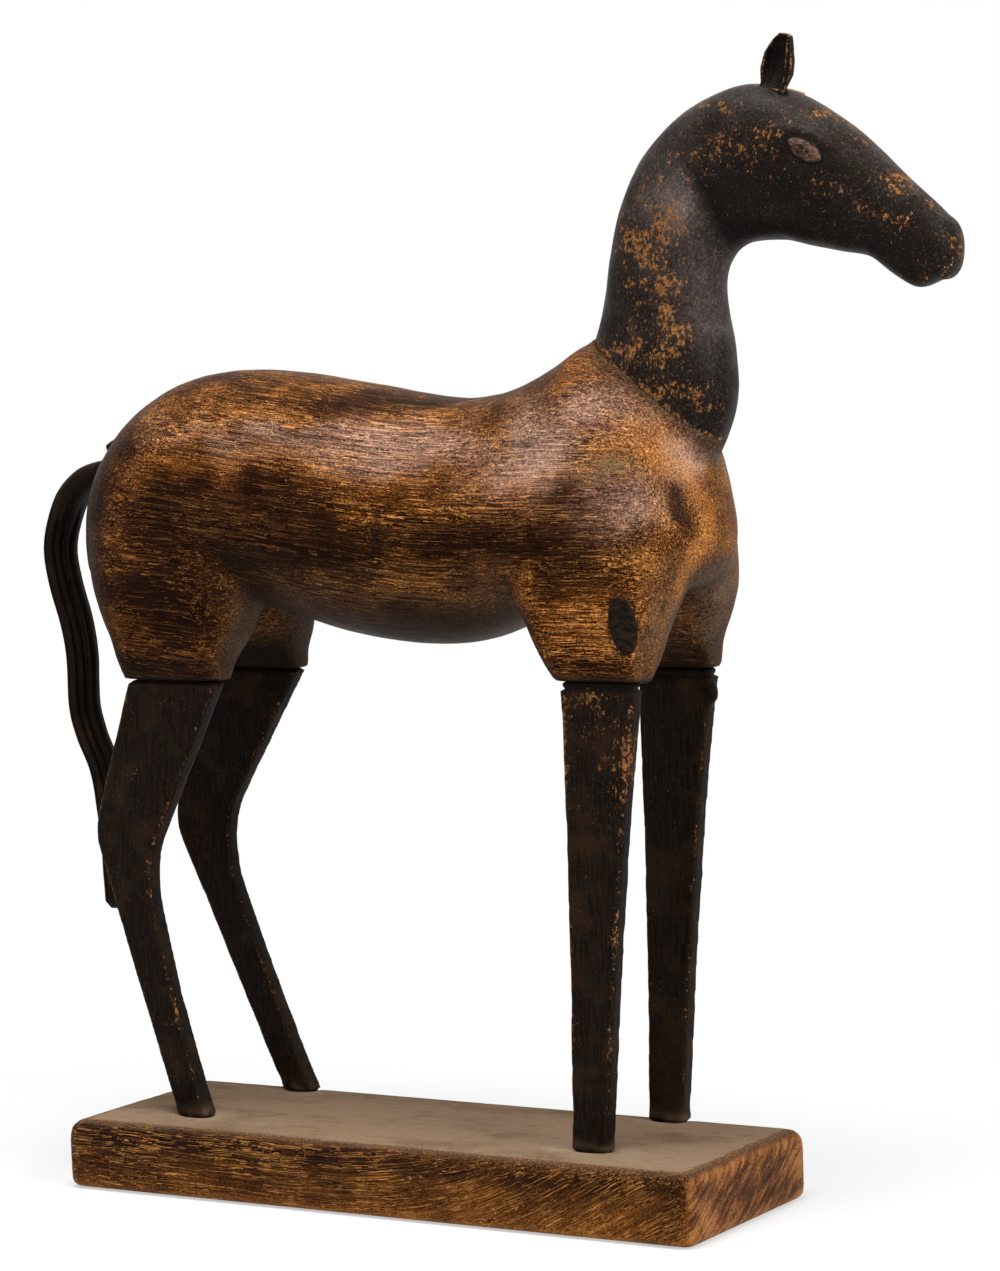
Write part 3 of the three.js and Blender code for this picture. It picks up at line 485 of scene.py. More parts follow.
def carved_wood():
    """Dark stained hardwood: very fine fibres and pore lines along the grain, which rises towards
    the croup, rubbed through to gold where worn, with a painted violet grey sheen on what faces up."""
    t = Tree("carved_wood")
    p = t.coords()
    x, y, z = t.split(p)
    rise = t.step(x, -0.22, 0.07, -0.028, 0.0)
    q = t.joined(x, y, t.total(z, rise))
    q = t.warped(t.warped(q, 14, 0.004), 90, 0.0012)
    s = t.staggered(q)
    worn, sheen, shade, greyed = map(t.given, ("worn", "sheen", "shade", "greyed"))
    broad = t.streaks(p, (15.6, 26, 26), 4, 0.65)
    patchy = t.streaks(s, (110, 500, 500), 3, 0.65)
    fibre = t.streaks(s, (260, 850, 850), 1, 0.6)
    pores = t.streaks(s, (210, 680, 680), 1, 0.5, (0.01, 0, 0))
    fine = t.noise(p, 850, 2, 0.7)
    rub = t.total(t.spread(patchy, 0.5), t.spread(fibre, 1.25), t.spread(fine, 0.8))
    # Painted shade: where the shade attribute is strong, the rubbing is weaker, the tone darker and the
    # pore lines fainter.
    rub = t.times(rub, t.step(shade, 0, 1, 1.05, 0.7))
    tone = t.total(0.262, t.times(worn, 0.27), t.times(shade, -0.215), t.spread(broad, 0.35), rub)
    ground = t.ramp(tone, (0.05, 0.0062, 0.0014, 0.0002), (0.25, 0.022, 0.0054, 0.0006),
                    (0.45, 0.078, 0.022, 0.003), (0.62, 0.22, 0.07, 0.012),
                    (0.8, 0.46, 0.188, 0.052), (1.0, 0.68, 0.36, 0.15))
    # Colours of the painted violet grey sheen, laid over the ground where the painted sheen is strong.
    sheen_colors = t.ramp(t.total(tone, 0.15), (0.24, 0.048, 0.018, 0.01), (0.47, 0.18, 0.092, 0.068),
                 (0.68, 0.5, 0.31, 0.235), (0.9, 0.85, 0.62, 0.49))
    ground = t.mix(t.times(sheen, t.total(0.9, t.spread(broad, 1.2)), clamp=True), ground, sheen_colors)
    # Greyer colours: the grey seam band, painted light on low front faces and painted shade underneath.
    grey = t.ramp(tone, (0.12, 0.013, 0.007, 0.0036), (0.38, 0.054, 0.033, 0.0205),
                  (0.85, 0.24, 0.154, 0.102))
    ground = t.mix(t.times(greyed, t.total(0.9, t.spread(patchy, 0.8)), clamp=True), ground, grey)
    zone = t.spread(t.streaks(q, (14, 60, 60), 2), 0.25)
    dash = t.total(pores, zone, t.times(worn, 0.02), t.times(shade, -0.045))
    dash = t.times(t.step(dash, 0.59, 0.616), t.step(shade, 0, 1, 0.95, 0.3))
    dash = t.times(dash, t.step(greyed, 0, 1, 1.0, 0.1))
    bright = t.ramp(fine, (0.35, 0.42, 0.128, 0.018), (0.62, 0.96, 0.43, 0.11))
    # Pore lines show pale pink under the painted sheen.
    ground = t.mix(dash, ground, t.mix(t.times(sheen, 0.7), bright, (0.86, 0.53, 0.37)))
    putty = t.step(fine, 0.3, 0.6, 0.2, 0.8)
    # The last layer: near black on dark joint lines and the crack, and painted shade in the flank dent, at
    # the rump's rear and round the stubs' lower ends.
    ground = t.layers(ground, (t.given("green"), putty, (0.15, 0.112, 0.052)),
                      (t.given("grime_and_shade"), 0.9, (0.008, 0.005, 0.0038)))
    rough = t.step(t.total(patchy, t.times(sheen, -0.15)), 0.2, 0.7, 0.3, 0.5)
    waves = t.bump(t.noise(p, 150, 3, 0.6), 0.3, 0.0012)
    normal = t.bump(t.total(fibre, pores, t.times(fine, 0.4)), 0.35, 0.0005, waves)
    return t.finish(t.surface(ground, rough, normal, 0.028))


def chips_of(t, worn, size, share, sharp=0.03):
    """Where paint has chipped: small flakes in clumps, thicker where the piece is worn."""
    p = t.coords()
    clumps = t.noise(p, 120, 4, 0.75)
    flakes = t.noise(t.scaled(p, (1.15, 1.15, 0.75)), size, 4, 0.72)
    amount = t.total(worn, t.spread(clumps, share))
    limit = t.total(0.74, t.times(amount, -0.24))
    return t.step(t.calc("SUBTRACT", flakes, limit), -0.5 * sharp, sharp)


def black_paint():
    """Near black paint, mottled, with a painted grey sheen where the light would catch it and painted
    shade in its creases, chipped to orange brown wood.
    """
    t = Tree("black_paint")
    p = t.coords()
    worn, sheen = t.given("worn"), t.given("sheen")
    chip = chips_of(t, worn, 470, 2.0)
    haze = chips_of(t, worn, 1000, 2.2, 0.08)
    broad, mottle = t.noise(p, 40, 4, 0.7), t.noise(p, 650, 3, 0.75)
    # Painted sheen lightens the tone towards grey.
    tone = t.total(0.27, t.times(sheen, 0.5), t.spread(broad, 0.6), t.spread(mottle, 0.8))
    ground = t.ramp(tone, (0.08, 0.0036, 0.0022, 0.0015), (0.34, 0.0095, 0.0062, 0.0045),
                    (0.58, 0.038, 0.029, 0.026), (0.8, 0.112, 0.09, 0.084),
                    (1.0, 0.26, 0.225, 0.215))
    flake = t.ramp(t.noise(p, 800, 3, 0.7), (0.3, 0.09, 0.031, 0.009), (0.52, 0.24, 0.1, 0.029),
                   (0.74, 0.48, 0.25, 0.11))
    dust = t.step(t.noise(p, 1500, 1, 0.5), 0.71, 0.78)
    # The last layer is painted shade: near black in the groove round the eye and in the crease behind each
    # cheek.
    ground = t.layers(ground, (haze, 0.45, (0.1, 0.048, 0.016)), (chip, 0.92, flake),
                      (dust, 0.7, (0.34, 0.27, 0.2)), (t.given("grime_and_shade"), 0.9, (0.003, 0.0022, 0.0018)))
    rough = t.total(t.step(t.noise(p, 90, 3), 0.3, 0.7, 0.36, 0.5), t.times(chip, 0.25))
    waves = t.bump(t.noise(p, 80, 3, 0.6), 0.35, 0.002)
    normal = t.bump(t.total(t.noise(p, 900, 3, 0.7), t.times(chip, -0.5)), 0.25, 0.0007, waves)
    return t.finish(t.surface(ground, rough, normal, 0.055))


def slat_paint():
    """Dark brown paint on flat slats, streaked along them and rubbed through at the edges."""
    t = Tree("slat_paint")
    p = t.coords()
    worn = t.given("worn")
    streaks = t.streaks(p, (900, 900, 60), 3, 0.65)
    chip = chips_of(t, worn, 520, 1.1)
    haze = chips_of(t, worn, 1300, 1.4, 0.08)
    ground = t.mix(t.step(streaks, 0.35, 0.65), (0.003, 0.0017, 0.001), (0.0118, 0.0068, 0.004))
    ground = t.mix(t.step(t.noise(p, 45, 4, 0.7), 0.45, 0.68, 0, 0.65), ground, (0.027, 0.0125, 0.005))
    tone = t.mix(t.noise(p, 400, 2), (0.12, 0.044, 0.012), (0.36, 0.165, 0.058))
    specks = t.step(t.noise(p, 1400, 1, 0.5), 0.72, 0.79)
    # The last layer darkens the pitch lump and a band just under the stubs on the legs, and is painted
    # shade in the tail's flutes.
    ground = t.layers(ground, (haze, 0.5, (0.095, 0.045, 0.015)), (chip, 0.85, tone),
                      (specks, 0.5, (0.22, 0.15, 0.1)), (t.given("foot"), 0.7, (0.15, 0.1, 0.065)),
                      (t.given("grime_and_shade"), 0.8, (0.003, 0.002, 0.0015)))
    rough = t.step(streaks, 0.3, 0.7, 0.42, 0.58)
    waves = t.bump(t.streaks(p, (110, 110, 44), 3, 0.6), 0.35, 0.002)
    normal = t.bump(t.total(streaks, t.times(chip, -0.4)), 0.3, 0.0006, waves)
    return t.finish(t.surface(ground, rough, normal, 0.04))


def plank_wood():
    """A plank, dusty grey brown above, dark stained with fine pale pore lines at its sides, and
    banded aslant with its growth rings at the sawn ends."""
    t = Tree("plank_wood")
    p = t.coords()
    px, py, pz = t.split(p)
    slant = t.times(t.step(px, -0.08, 0.2), t.times(px, -0.4))
    q = t.joined(px, py, t.total(pz, slant))
    q = t.staggered(t.warped(t.warped(q, 12, 0.006), 90, 0.0012))
    x, y, z = t.facing()
    side_brink = t.step(t.calc("ABSOLUTE", py), 0.055, 0.0615)
    brink = t.calc("MAXIMUM", side_brink, t.step(t.calc("ABSOLUTE", px), 0.182, 0.189))
    brink = t.total(brink, t.spread(t.noise(p, 160, 3), 0.8))
    above = t.times(t.step(z, 0.7, 0.97), t.step(brink, 0, 1, 1.0, 0.08))
    end = t.step(t.calc("ABSOLUTE", x), 0.45, 0.85)
    worn = t.given("worn")
    broad, tilt = t.noise(p, 18, 3, 0.6), (0, 0.06, 0)
    patchy = t.streaks(q, (70, 500, 500), 3, 0.65, tilt)
    fibre = t.streaks(q, (160, 1000, 1000), 1, 0.6, tilt)
    pores = t.streaks(q, (150, 850, 850), 1, 0.5, tilt)
    fine = t.noise(p, 850, 2, 0.7)
    brim = t.times(t.step(pz, 0.021, 0.031), -0.25)
    tone = t.total(0.28, t.times(worn, 0.3), t.spread(broad, 0.5), t.spread(patchy, 0.45),
                   t.spread(fibre, 0.8), t.spread(fine, 0.7), brim)
    side = t.ramp(tone, (0.05, 0.008, 0.0019, 0.0003), (0.25, 0.028, 0.0076, 0.0009),
                  (0.45, 0.095, 0.03, 0.0036), (0.62, 0.235, 0.082, 0.012),
                  (0.8, 0.44, 0.186, 0.048), (1.0, 0.66, 0.35, 0.15))
    dash = t.total(pores, t.spread(t.noise(p, 50, 2), 0.25))
    side = t.layers(side, (t.step(dash, 0.6, 0.65), 0.7, (0.62, 0.27, 0.065)))
    aslant = t.scaled(t.warped(p, 60, 0.003), (1, 1, 1), (-0.6, 0, 0))
    bands = t.streaks(aslant, (40, 60, 420), 3, 0.6)
    sawn = t.total(t.times(worn, 0.25), bands, t.spread(t.noise(p, 900, 2), 0.5), t.spread(patchy, 0.4))
    sawn = t.ramp(sawn, (0.34, 0.028, 0.008, 0.002), (0.54, 0.115, 0.038, 0.0095),
                  (0.74, 0.34, 0.14, 0.043))
    side = t.mix(end, side, sawn)
    grain = t.streaks(q, (30, 500, 500), 3, 0.65)
    stain = t.streaks(p, (15.6, 26, 26), 4, 0.65)
    dust = t.mix(grain, (0.2, 0.12, 0.068), (0.36, 0.245, 0.16))
    dust = t.mix(t.step(stain, 0.46, 0.66, 0, 0.7), dust, (0.15, 0.092, 0.048))
    dust = t.layers(dust, (t.step(t.noise(p, 900, 3), 0.5, 0.75), 0.5, (0.42, 0.31, 0.21)),
                    (t.given("foot"), 0.6, (0.46, 0.35, 0.25)))
    rim = t.times(t.times(above, t.calc("SUBTRACT", 1.0, above)), 3.0, clamp=True)
    flecks = t.mix(t.step(fine, 0.48, 0.6), (0.048, 0.02, 0.007), (0.33, 0.15, 0.052))
    ground = t.mix(rim, t.mix(above, side, dust), flecks)
    rough = t.step(above, 0, 1, 0.5, 0.85)
    waves = t.bump(t.noise(p, 100, 3, 0.6), 0.3, 0.002)
    normal = t.bump(t.total(fibre, grain), 0.4, 0.0006, waves)
    return t.finish(t.surface(ground, rough, normal, 0.05))


def small_wood(name, dark, light, rough):
    """Plain wood or paint of small pieces, mottled between two tones."""
    t = Tree(name)
    p = t.coords()
    tone = t.streaks(p, (210, 420, 420), 4, 0.65)
    ground = t.mix(t.step(tone, 0.38, 0.66), dark, light)
    specks = t.step(t.noise(p, 1000, 2), 0.62, 0.72)
    ground = t.layers(ground, (specks, 0.5, tuple(min(1.0, 2.2 * c) for c in light)))
    normal = t.bump(tone, 0.4, 0.0009)
    return t.finish(t.surface(ground, rough, normal, 0.06))


def pale_floor():
    """The plain pale sheet that the statue stands on. The camera and reflections see it run out to
    plain white round the statue, and its shadow stays."""
    t = Tree("pale_floor")
    p = t.coords()
    sheet = t.surface((0.95, 0.95, 0.95, 1), 0.9, t.bump(t.noise(p, 40, 2), 0.02, 0.001), 0.1)
    white = t.node("Emission").outputs[0]
    reach = t.node("VectorMath", {0: p}, operation="LENGTH").outputs["Value"]
    share = t.times(t.seen(), t.step(reach, 0.25, 0.55, 0.5, 1.0))
    return t.finish(t.node("MixShader", {0: share, 1: sheet, 2: white}).outputs[0])


# Trunk

# Rows of the trunk and the neck: x and z of the upper end, x and z of the lower end, half width,
# power, and how far down the widest line lies
TRUNK = [
    (-206, 57, -158, 44, 40, 2.3, 0.5), (-207.5, 79, -150, 44, 43, 2.2, 0.5),
    (-203, 102, -143, 44, 46.5, 2.2, 0.5), (-192, 122.5, -134, 45, 49, 2.2, 0.5),
    (-174, 141.5, -124, 44, 51, 2.2, 0.5), (-146, 156.6, -112, 40, 52.5, 2.2, 0.5),
    (-112, 162.6, -94, 33.5, 53, 2.2, 0.52), (-76, 160.6, -70, 27.5, 53, 2.2, 0.53),
    (-40, 155, -38, 19.3, 53, 2.2, 0.54), (0, 148, 0, 14.6, 53, 2.2, 0.55),
    (35, 144.5, 36, 15.8, 53, 2.3, 0.55), (66, 149.5, 66, 26, 53, 2.4, 0.55),
    (92, 161, 92, 36, 53, 2.4, 0.56), (110, 171.5, 112, 42, 53, 2.4, 0.57),
    (122, 170.5, 131, 42.5, 52.5, 2.4, 0.58), (132, 165, 146, 43.5, 51, 2.4, 0.6),
    (142, 157, 160, 45, 48.5, 2.45, 0.62),
]
NECK = [
    (105, 150, 160, 96, 29, 2.3, 0.5), (109.5, 166, 175.5, 111, 28, 2.25, 0.5),
    (115.5, 184, 187, 138, 27, 2.2, 0.5), (119.2, 200, 187, 164, 26, 2.2, 0.5),
    (122.5, 219, 183.5, 186, 25, 2.2, 0.5), (128.5, 240.5, 183.5, 202, 23.5, 2.2, 0.5),
    (140, 263, 189, 213, 22.5, 2.2, 0.5), (157, 280.5, 198, 219, 22.5, 2.2, 0.48),
    (178.5, 293, 209, 220.5, 23, 2.2, 0.44), (203, 299, 222, 220, 25.5, 2.2, 0.4),
    (227, 293.5, 236, 216.5, 25.5, 2.2, 0.38), (249, 281.2, 252, 213, 23.5, 2.2, 0.38),
    (269, 265.3, 268, 209.5, 20.5, 2.2, 0.4), (286.5, 249, 282, 199.5, 17.5, 2.2, 0.42),
    (300, 237, 293, 194, 15, 2.3, 0.45), (307.5, 229.5, 305, 197.5, 14.5, 2.4, 0.48),
]
# Rows of the stubs: height, how far the rear, the front and the outer face stand back or out, how
# far the inner face is arched in, and power
FORE_STUB = [
    (0, 0, 0, 0, 0, 6), (6, 5, 0.5, 1, 3, 5.5), (17, 12, 3, 2, 10, 5), (31, 20, 9.5, 3, 18, 4),
    (45, 29, 14.5, 4, 27, 3.4), (65, 36, 16, 4.2, 33, 3), (88, 36, 14, 3, 33, 2.8),
    (108, 22, 4, -3, 33, 2.8), (124, 6, -12, -14, 33, 2.8),
]
HIND_STUB = [
    (0, 0, 0, 0, 0, 6), (10, 5, 1, 1, 7, 5.2), (21, 10, 6, 2, 15, 4.2), (36, 19, 11, 3, 24, 3.3),
    (54, 26, 13, 4, 30, 2.8), (76, 28, 12, 4, 34, 2.6), (98, 22, 8, 2, 33, 2.6), (116, 10, -4, -4, 30, 2.6),
    (130, 0, -18, -12, 30, 2.6),
]
STUB_INNER, STUB_OUTER, STUB_END = 31.5, 48.0, 3.0
FORE_ENDS, HIND_ENDS, HIND_DROP = (106.8, 150.3), (-165, -107), -4
FAR_FORE_SHIFT, FAR_HIND_SHIFT = 0.6, -2.0
CHEST_FALL = math.radians(16)

# The face that the neck sits on, and the way that the neck rises from it
SEAT = np.array([109.5, 0.0, 174.5])
SLOPE, TROUGH = math.radians(38), math.radians(6)
SEAT_UP = np.array([math.sin(SLOPE), 0.0, math.cos(SLOPE)])
SEAT_MIDDLE = SEAT + 36 / math.cos(SLOPE) * np.array([math.cos(SLOPE), 0.0, -math.sin(SLOPE)])
NECK_RISE = np.array([0.162, 0.0, 0.987])
GLUE = 0.3

# Marks on the trunk, in the model's frame
FLANK_DENT, PATCH, PATCH_CRACK = (3, -37, 353), (97, -33, 406), (93, -33, 401)
NEAR_HALF = 12
CHEST_STRIPE = np.array([
    (136, -34, 396), (148, -26, 402), (163, -17, 391), (171, -1, 380), (176, 9, 365),
    (176, 4, 350), (172, -8, 338), (168, -16, 322), (162, -21, 305), (156, -22, 288),
])
PLUG_AT, PLUG_TURN, PLUG_HALF = (147.0, 309.0), math.radians(-8), (7.5, 15.0)
RUBBED = [
    (-127, -36, 389, 30, 30, 11, 0.9), (-82, -34, 396, 44, 30, 8, 0.7), (-165, -34, 305, 14, 30, 14, 0.95),
    (-164, -30, 352, 14, 30, 20, 0.35), (30, -34, 325, 90, 30, 12, 0.45), (72, -30, 330, 24, 30, 12, 1.0),
    (60, -20, 419, 50, 30, 10, 0.3), (110, -17, 440, 16, 30, 10, 0.6), (125, -36, 315, 26, 30, 18, 0.85),
    (135, -34, 292, 24, 30, 12, 0.35), (163, -14, 396, 16, 16, 14, 1.1), (172, 4, 384, 12, 14, 12, 1.1),
    (161, -23, 305, 8, 8, 26, 1.0), (156, -13, 300, 9, 9, 20, 1.0), (-85, -14, 428, 50, 30, 6, 0.4),
    (20, -34, 385, 60, 30, 9, 0.7), (105, -36, 384, 36, 30, 9, 0.8), (-100, 66, 395, 60, 30, 20, 0.6),
    (60, 66, 390, 70, 30, 20, 0.5), (0, 62, 330, 110, 30, 14, 0.5), (130, 66, 310, 30, 30, 26, 0.7),
    (-140, 66, 300, 30, 30, 30, 0.6), (165, 42, 340, 12, 14, 40, 0.7),
]
# Spots of painted sheen on the back and on the near shoulder: centre, radii and strength.
SHEEN_BACK = [
    (15, -29, 400, 90, 40, 9, 1.0), (-70, -27, 409, 60, 40, 7, 1.0), (0, 55, 402, 110, 20, 14, 0.8),
]
SHEEN_SHOULDER = [
    (102, -31, 398, 32, 30, 20, 1.0), (133, -26, 416, 24, 30, 16, 0.9), (150, -33, 370, 24, 30, 14, 0.75),
    (170, -4, 388, 14, 14, 14, 0.8),
]
# Spots of painted shade on the trunk: centre, radii and strength.
SHADED = [
    (-60, -36, 350, 90, 40, 22, 1.3), (-104, -36, 364, 60, 40, 22, 1.8), (60, -34, 348, 60, 40, 22, 1.0),
    (-180, -20, 400, 22, 40, 40, 1.2), (-140, -33, 316, 70, 40, 34, 1.4), (0, -20, 304, 90, 40, 16, 0.8),
    (-204, 0, 370, 34, 60, 80, 1.6), (173, -10, 361, 8, 8, 13, 1.6), (-100, -10, 432, 60, 40, 8, 0.7),
    (110, -36, 346, 40, 30, 24, 1.0), (20, 0, 428, 90, 40, 11, 0.9), (120, -36, 376, 24, 30, 12, 0.8),
]


def over_seat(points):
    """Height of points over the sloped, slightly troughed face that the neck sits on."""
    return (points - SEAT) @ SEAT_UP - np.abs(points[..., 1]) * math.tan(TROUGH)


def drawn_to_seat(verts, past, way):
    """Slides points that are past the seat onto it, up or down the neck, and a little inwards."""
    verts = verts + way * past[:, None] * NECK_RISE / (NECK_RISE @ SEAT_UP)
    return verts + 0.12 * np.minimum(past / 6, 1)[:, None] * (SEAT_MIDDLE - verts)


def in_place(points):
    """From the trunk's own frame to the model's."""
    return points + (0.0, HORSE_Y, TRUNK_Z)


def stub(rows, ends, shift, lower, side):
    """A leg stub: level sections that widen upwards and draw back on the inner side."""
    rear, front = ends[0] + shift - STUB_END, ends[1] + shift + STUB_END
    table = [(lower + up, rear - back, front + ahead, STUB_INNER - arch, STUB_OUTER + out, power)
             for up, back, ahead, out, arch, power in rows]
    rings = level_rings(table, 60, 96)
    rings[:, :, 1] *= side
    return closed_loft(rings)


def trunk_carving(w):
    """How far the knife left the trunk proud of its plain form: waves, dent, patch and corner."""
    push = 0.55 * noise(w, 34, 3) + 0.18 * noise(w, 9, 5)
    push -= 1.8 * dab(w, FLANK_DENT, (5, 9, 9))
    push += 0.9 * dab(w, PATCH, (9, 9, 7)) - 1.1 * dab(w, PATCH_CRACK, (8, 9, 1.6))
    push += 1.3 * noise(w, 5, 11) * dab(w, (143, -34, 390), (13, 9, 6))
    return push + 4.0 * dab(w, (152, -16, 296), (13, 10, 20))


def trunk_wear(w, verts, out, bend):
    """How worn and green the trunk is at each point, and where it gets painted sheen, greyer colours,
    painted shade, and dark lines and painted shade in hollows, from where the point lies, which way it
    faces and how far it stands proud."""
    near = ((out[:, 1] < 0.3) & (w[:, 1] < NEAR_HALF)).astype(float)
    hind = w[:, 0] < 0
    stripe = line_distance(w, CHEST_STRIPE)[0] + 3.5 * noise(w, 8, 17)
    plug = oval_share(w[:, [0, 2]], PLUG_AT, PLUG_TURN, PLUG_HALF)
    seam = close_to(over_seat(verts), 7.0) * (verts[:, 0] > 96)
    # Faces turned down get painted shade: less wear and greyer colours.
    under = clipped(-out[:, 2] * 1.6 - 0.15)
    # Low faces turned forward get painted light: greyer colours and no painted shade.
    front = clipped(out[:, 0] * 1.4 - 0.3) * clipped((352 - w[:, 2]) / 24) * (1 - close_to(stripe, 9))

    worn = clipped(dabs(w, RUBBED) + 0.5 * clipped(bend / 0.8))
    worn = np.maximum(worn, close_to(stripe, 8)) * (1 - 0.9 * dab(w, (173, -9, 360), (8, 7, 10)))
    worn = clipped(worn - 0.5 * under - 0.5 * seam)
    worn = np.maximum(worn, 0.9 * close_to(plug - 1.12, 0.07) * near)

    # Painted sheen on the upward faces of the back and on the near shoulder, less along the chest line.
    sheen = clipped(out[:, 2] * 2 - 0.1) * dabs(w, SHEEN_BACK)
    sheen = np.maximum(sheen, near * dabs(w, SHEEN_SHOULDER))
    sheen = clipped(sheen * (1 - 0.6 * close_to(stripe, 10)) * 1.08)

    # Greyer colours: the grey seam band, painted light on the low front faces and the stub's front strip,
    # and painted shade underneath.
    greyed = clipped(0.75 * seam + 0.8 * front + under + 0.8 * dab(w, (158, -11, 296), (8, 7, 22)))

    # Painted shade: dark spots, the stubs' lower ends and faces turned backwards, lifted on the chest line
    # and the low front faces.
    shade = np.maximum(dabs(w, SHADED), close_to(w[:, 2] - 279, 14) * np.where(hind, 1.2, 0.8))
    shade = clipped(shade + 0.8 * clipped(-out[:, 0] * 1.5 - 0.3))
    shade *= (1 - 0.9 * close_to(stripe, 9)) * (1 - 0.85 * front)

    # Dark joint lines, the dark crack and the dark outline of the plug, with painted shade in the flank
    # dent, at the rump's rear end and round the stubs' lower ends.
    joint = np.minimum(np.abs(w[:, 2] - TRUNK_Z), np.abs(w[:, 2] - SLAT_TOP))
    grime_and_shade = np.maximum.reduce([
        0.7 * close_to(joint, 2.5) * (np.abs(out[:, 2]) > 0.4),
        0.75 * near * dab(w, FLANK_DENT, (4, 9, 7)),
        0.35 * close_to(w[:, 0] + 209, 14),
        np.where(hind, 0.4, 0.25) * close_to(w[:, 2] - TRUNK_Z, 9),
        0.8 * dab(w, PATCH_CRACK, (8, 9, 1.4)),
        near * close_to(plug - 1.0, 0.06),
    ])
    green = dab(w, (141, -34, 391), (11, 9, 5))
    return {"worn": worn, "sheen": sheen, "greyed": greyed, "shade": shade, "grime_and_shade": grime_and_shade, "green": green}


def trunk():
    """The barrel and its four stubs as one worn skin, cut by the neck's seat."""
    rings = body_rings(TRUNK, 150, 160)
    chest = rounded_end(rings[-1], (math.cos(CHEST_FALL), 0, -math.sin(CHEST_FALL)), 24, 12)
    rump = rounded_end(rings[0], (0.2, 0, -1), 6, 4)[::-1]
    neck_root = closed_loft(body_rings(NECK[:5], 50, 96))
    parts = [closed_loft(np.concatenate([rump, rings, chest])), neck_root]
    for side, fore_shift, hind_shift in ((-1, 0.0, 0.0), (1, FAR_FORE_SHIFT, FAR_HIND_SHIFT)):
        parts.append(stub(FORE_STUB, FORE_ENDS, fore_shift, 0, side))
        parts.append(stub(HIND_STUB, HIND_ENDS, hind_shift, HIND_DROP, side))
    verts, faces, edges = voxelled(parts, 1.9, 14, 0.12, 0.75)
    past = np.maximum(over_seat(verts), 0)
    verts = drawn_to_seat(verts, past, -1)
    out, bend = lie_of(verts, faces, edges, 12)
    w = in_place(verts)
    verts = verts + np.where(past > 0, 0, trunk_carving(w))[:, None] * out
    return in_place(verts), faces, trunk_wear(w, verts, out, bend)


# Neck and head

MUZZLE_AHEAD = (0.9326, 0, -0.361)
VALLEY = np.array([(157, 549), (169, 542.5), (180, 535), (186.5, 523.5), (190.5, 511), (193.5, 500)])
VALLEY_SINK = (0.4, 1.8, 3.0, 3.4, 2.6, 1.0)
EYE_AT, EYE_TURN, EYE_HALF = (243.0, 543.5), math.radians(-30), (10.0, 4.75)
CHIPPED = [
    (162, -9, 504, 15, 30, 30, 0.95), (157, -10, 470, 16, 30, 30, 0.9), (152, -11, 446, 20, 30, 16, 0.75),
    (130, -8, 448, 14, 30, 14, 0.75), (166, -10, 426, 24, 30, 9, 0.75), (182, 0, 420, 12, 30, 10, 0.6),
    (200, -9, 546, 30, 30, 13, 0.6), (136, 0, 520, 10, 20, 30, 0.5), (255, 10, 557, 26, 14, 10, 0.8),
    (258, -6, 526, 16, 30, 7, 0.6), (284, 0, 512, 16, 30, 7, 0.7), (314, 10, 495, 5, 14, 18, 0.75),
    (283, 12, 532, 15, 14, 8, 0.8), (264, 14, 548, 18, 10, 9, 0.8), (303, 4, 478, 8, 14, 6, 0.6),
    (300, 14, 522, 12, 8, 8, 0.7), (222, -8, 560, 10, 20, 8, 0.6), (180, 0, 566, 40, 20, 6, 0.6),
    (160, 44, 500, 14, 30, 40, 0.8), (215, 42, 540, 40, 30, 14, 0.5),
]


def neck_wear(w, over, out, bend):
    """How chipped the neck's paint is at each point and where it gets painted sheen, from where the
    point lies and which way it faces."""
    rim = close_to(over - GLUE, 2.5) * clipped(0.6 + noise(w, 5, 33))
    worn = clipped(dabs(w, CHIPPED) + 0.35 * clipped(bend / 0.8) + 0.12 + 0.8 * rim)
    ahead = clipped(out[:, 0] * 1.2 + 0.2 * out[:, 2] - 0.1) * (w[:, 0] < 205)
    # Painted sheen on faces turned up and forward, on the neck's bulge and behind it, less of it low on the
    # neck.
    sheen = np.where(w[:, 0] > 185, 0.5, 0.7) * clipped(out[:, 2])
    sheen = sheen + 0.65 * ahead + 0.9 * dab(w, (174, -7, 520), (12, 30, 22))
    sheen = clipped(sheen + 0.45 * dab(w, (157, -9, 520), (16, 30, 30)))
    return worn, sheen * (1 - 0.7 * clipped((458 - w[:, 2]) / 25))


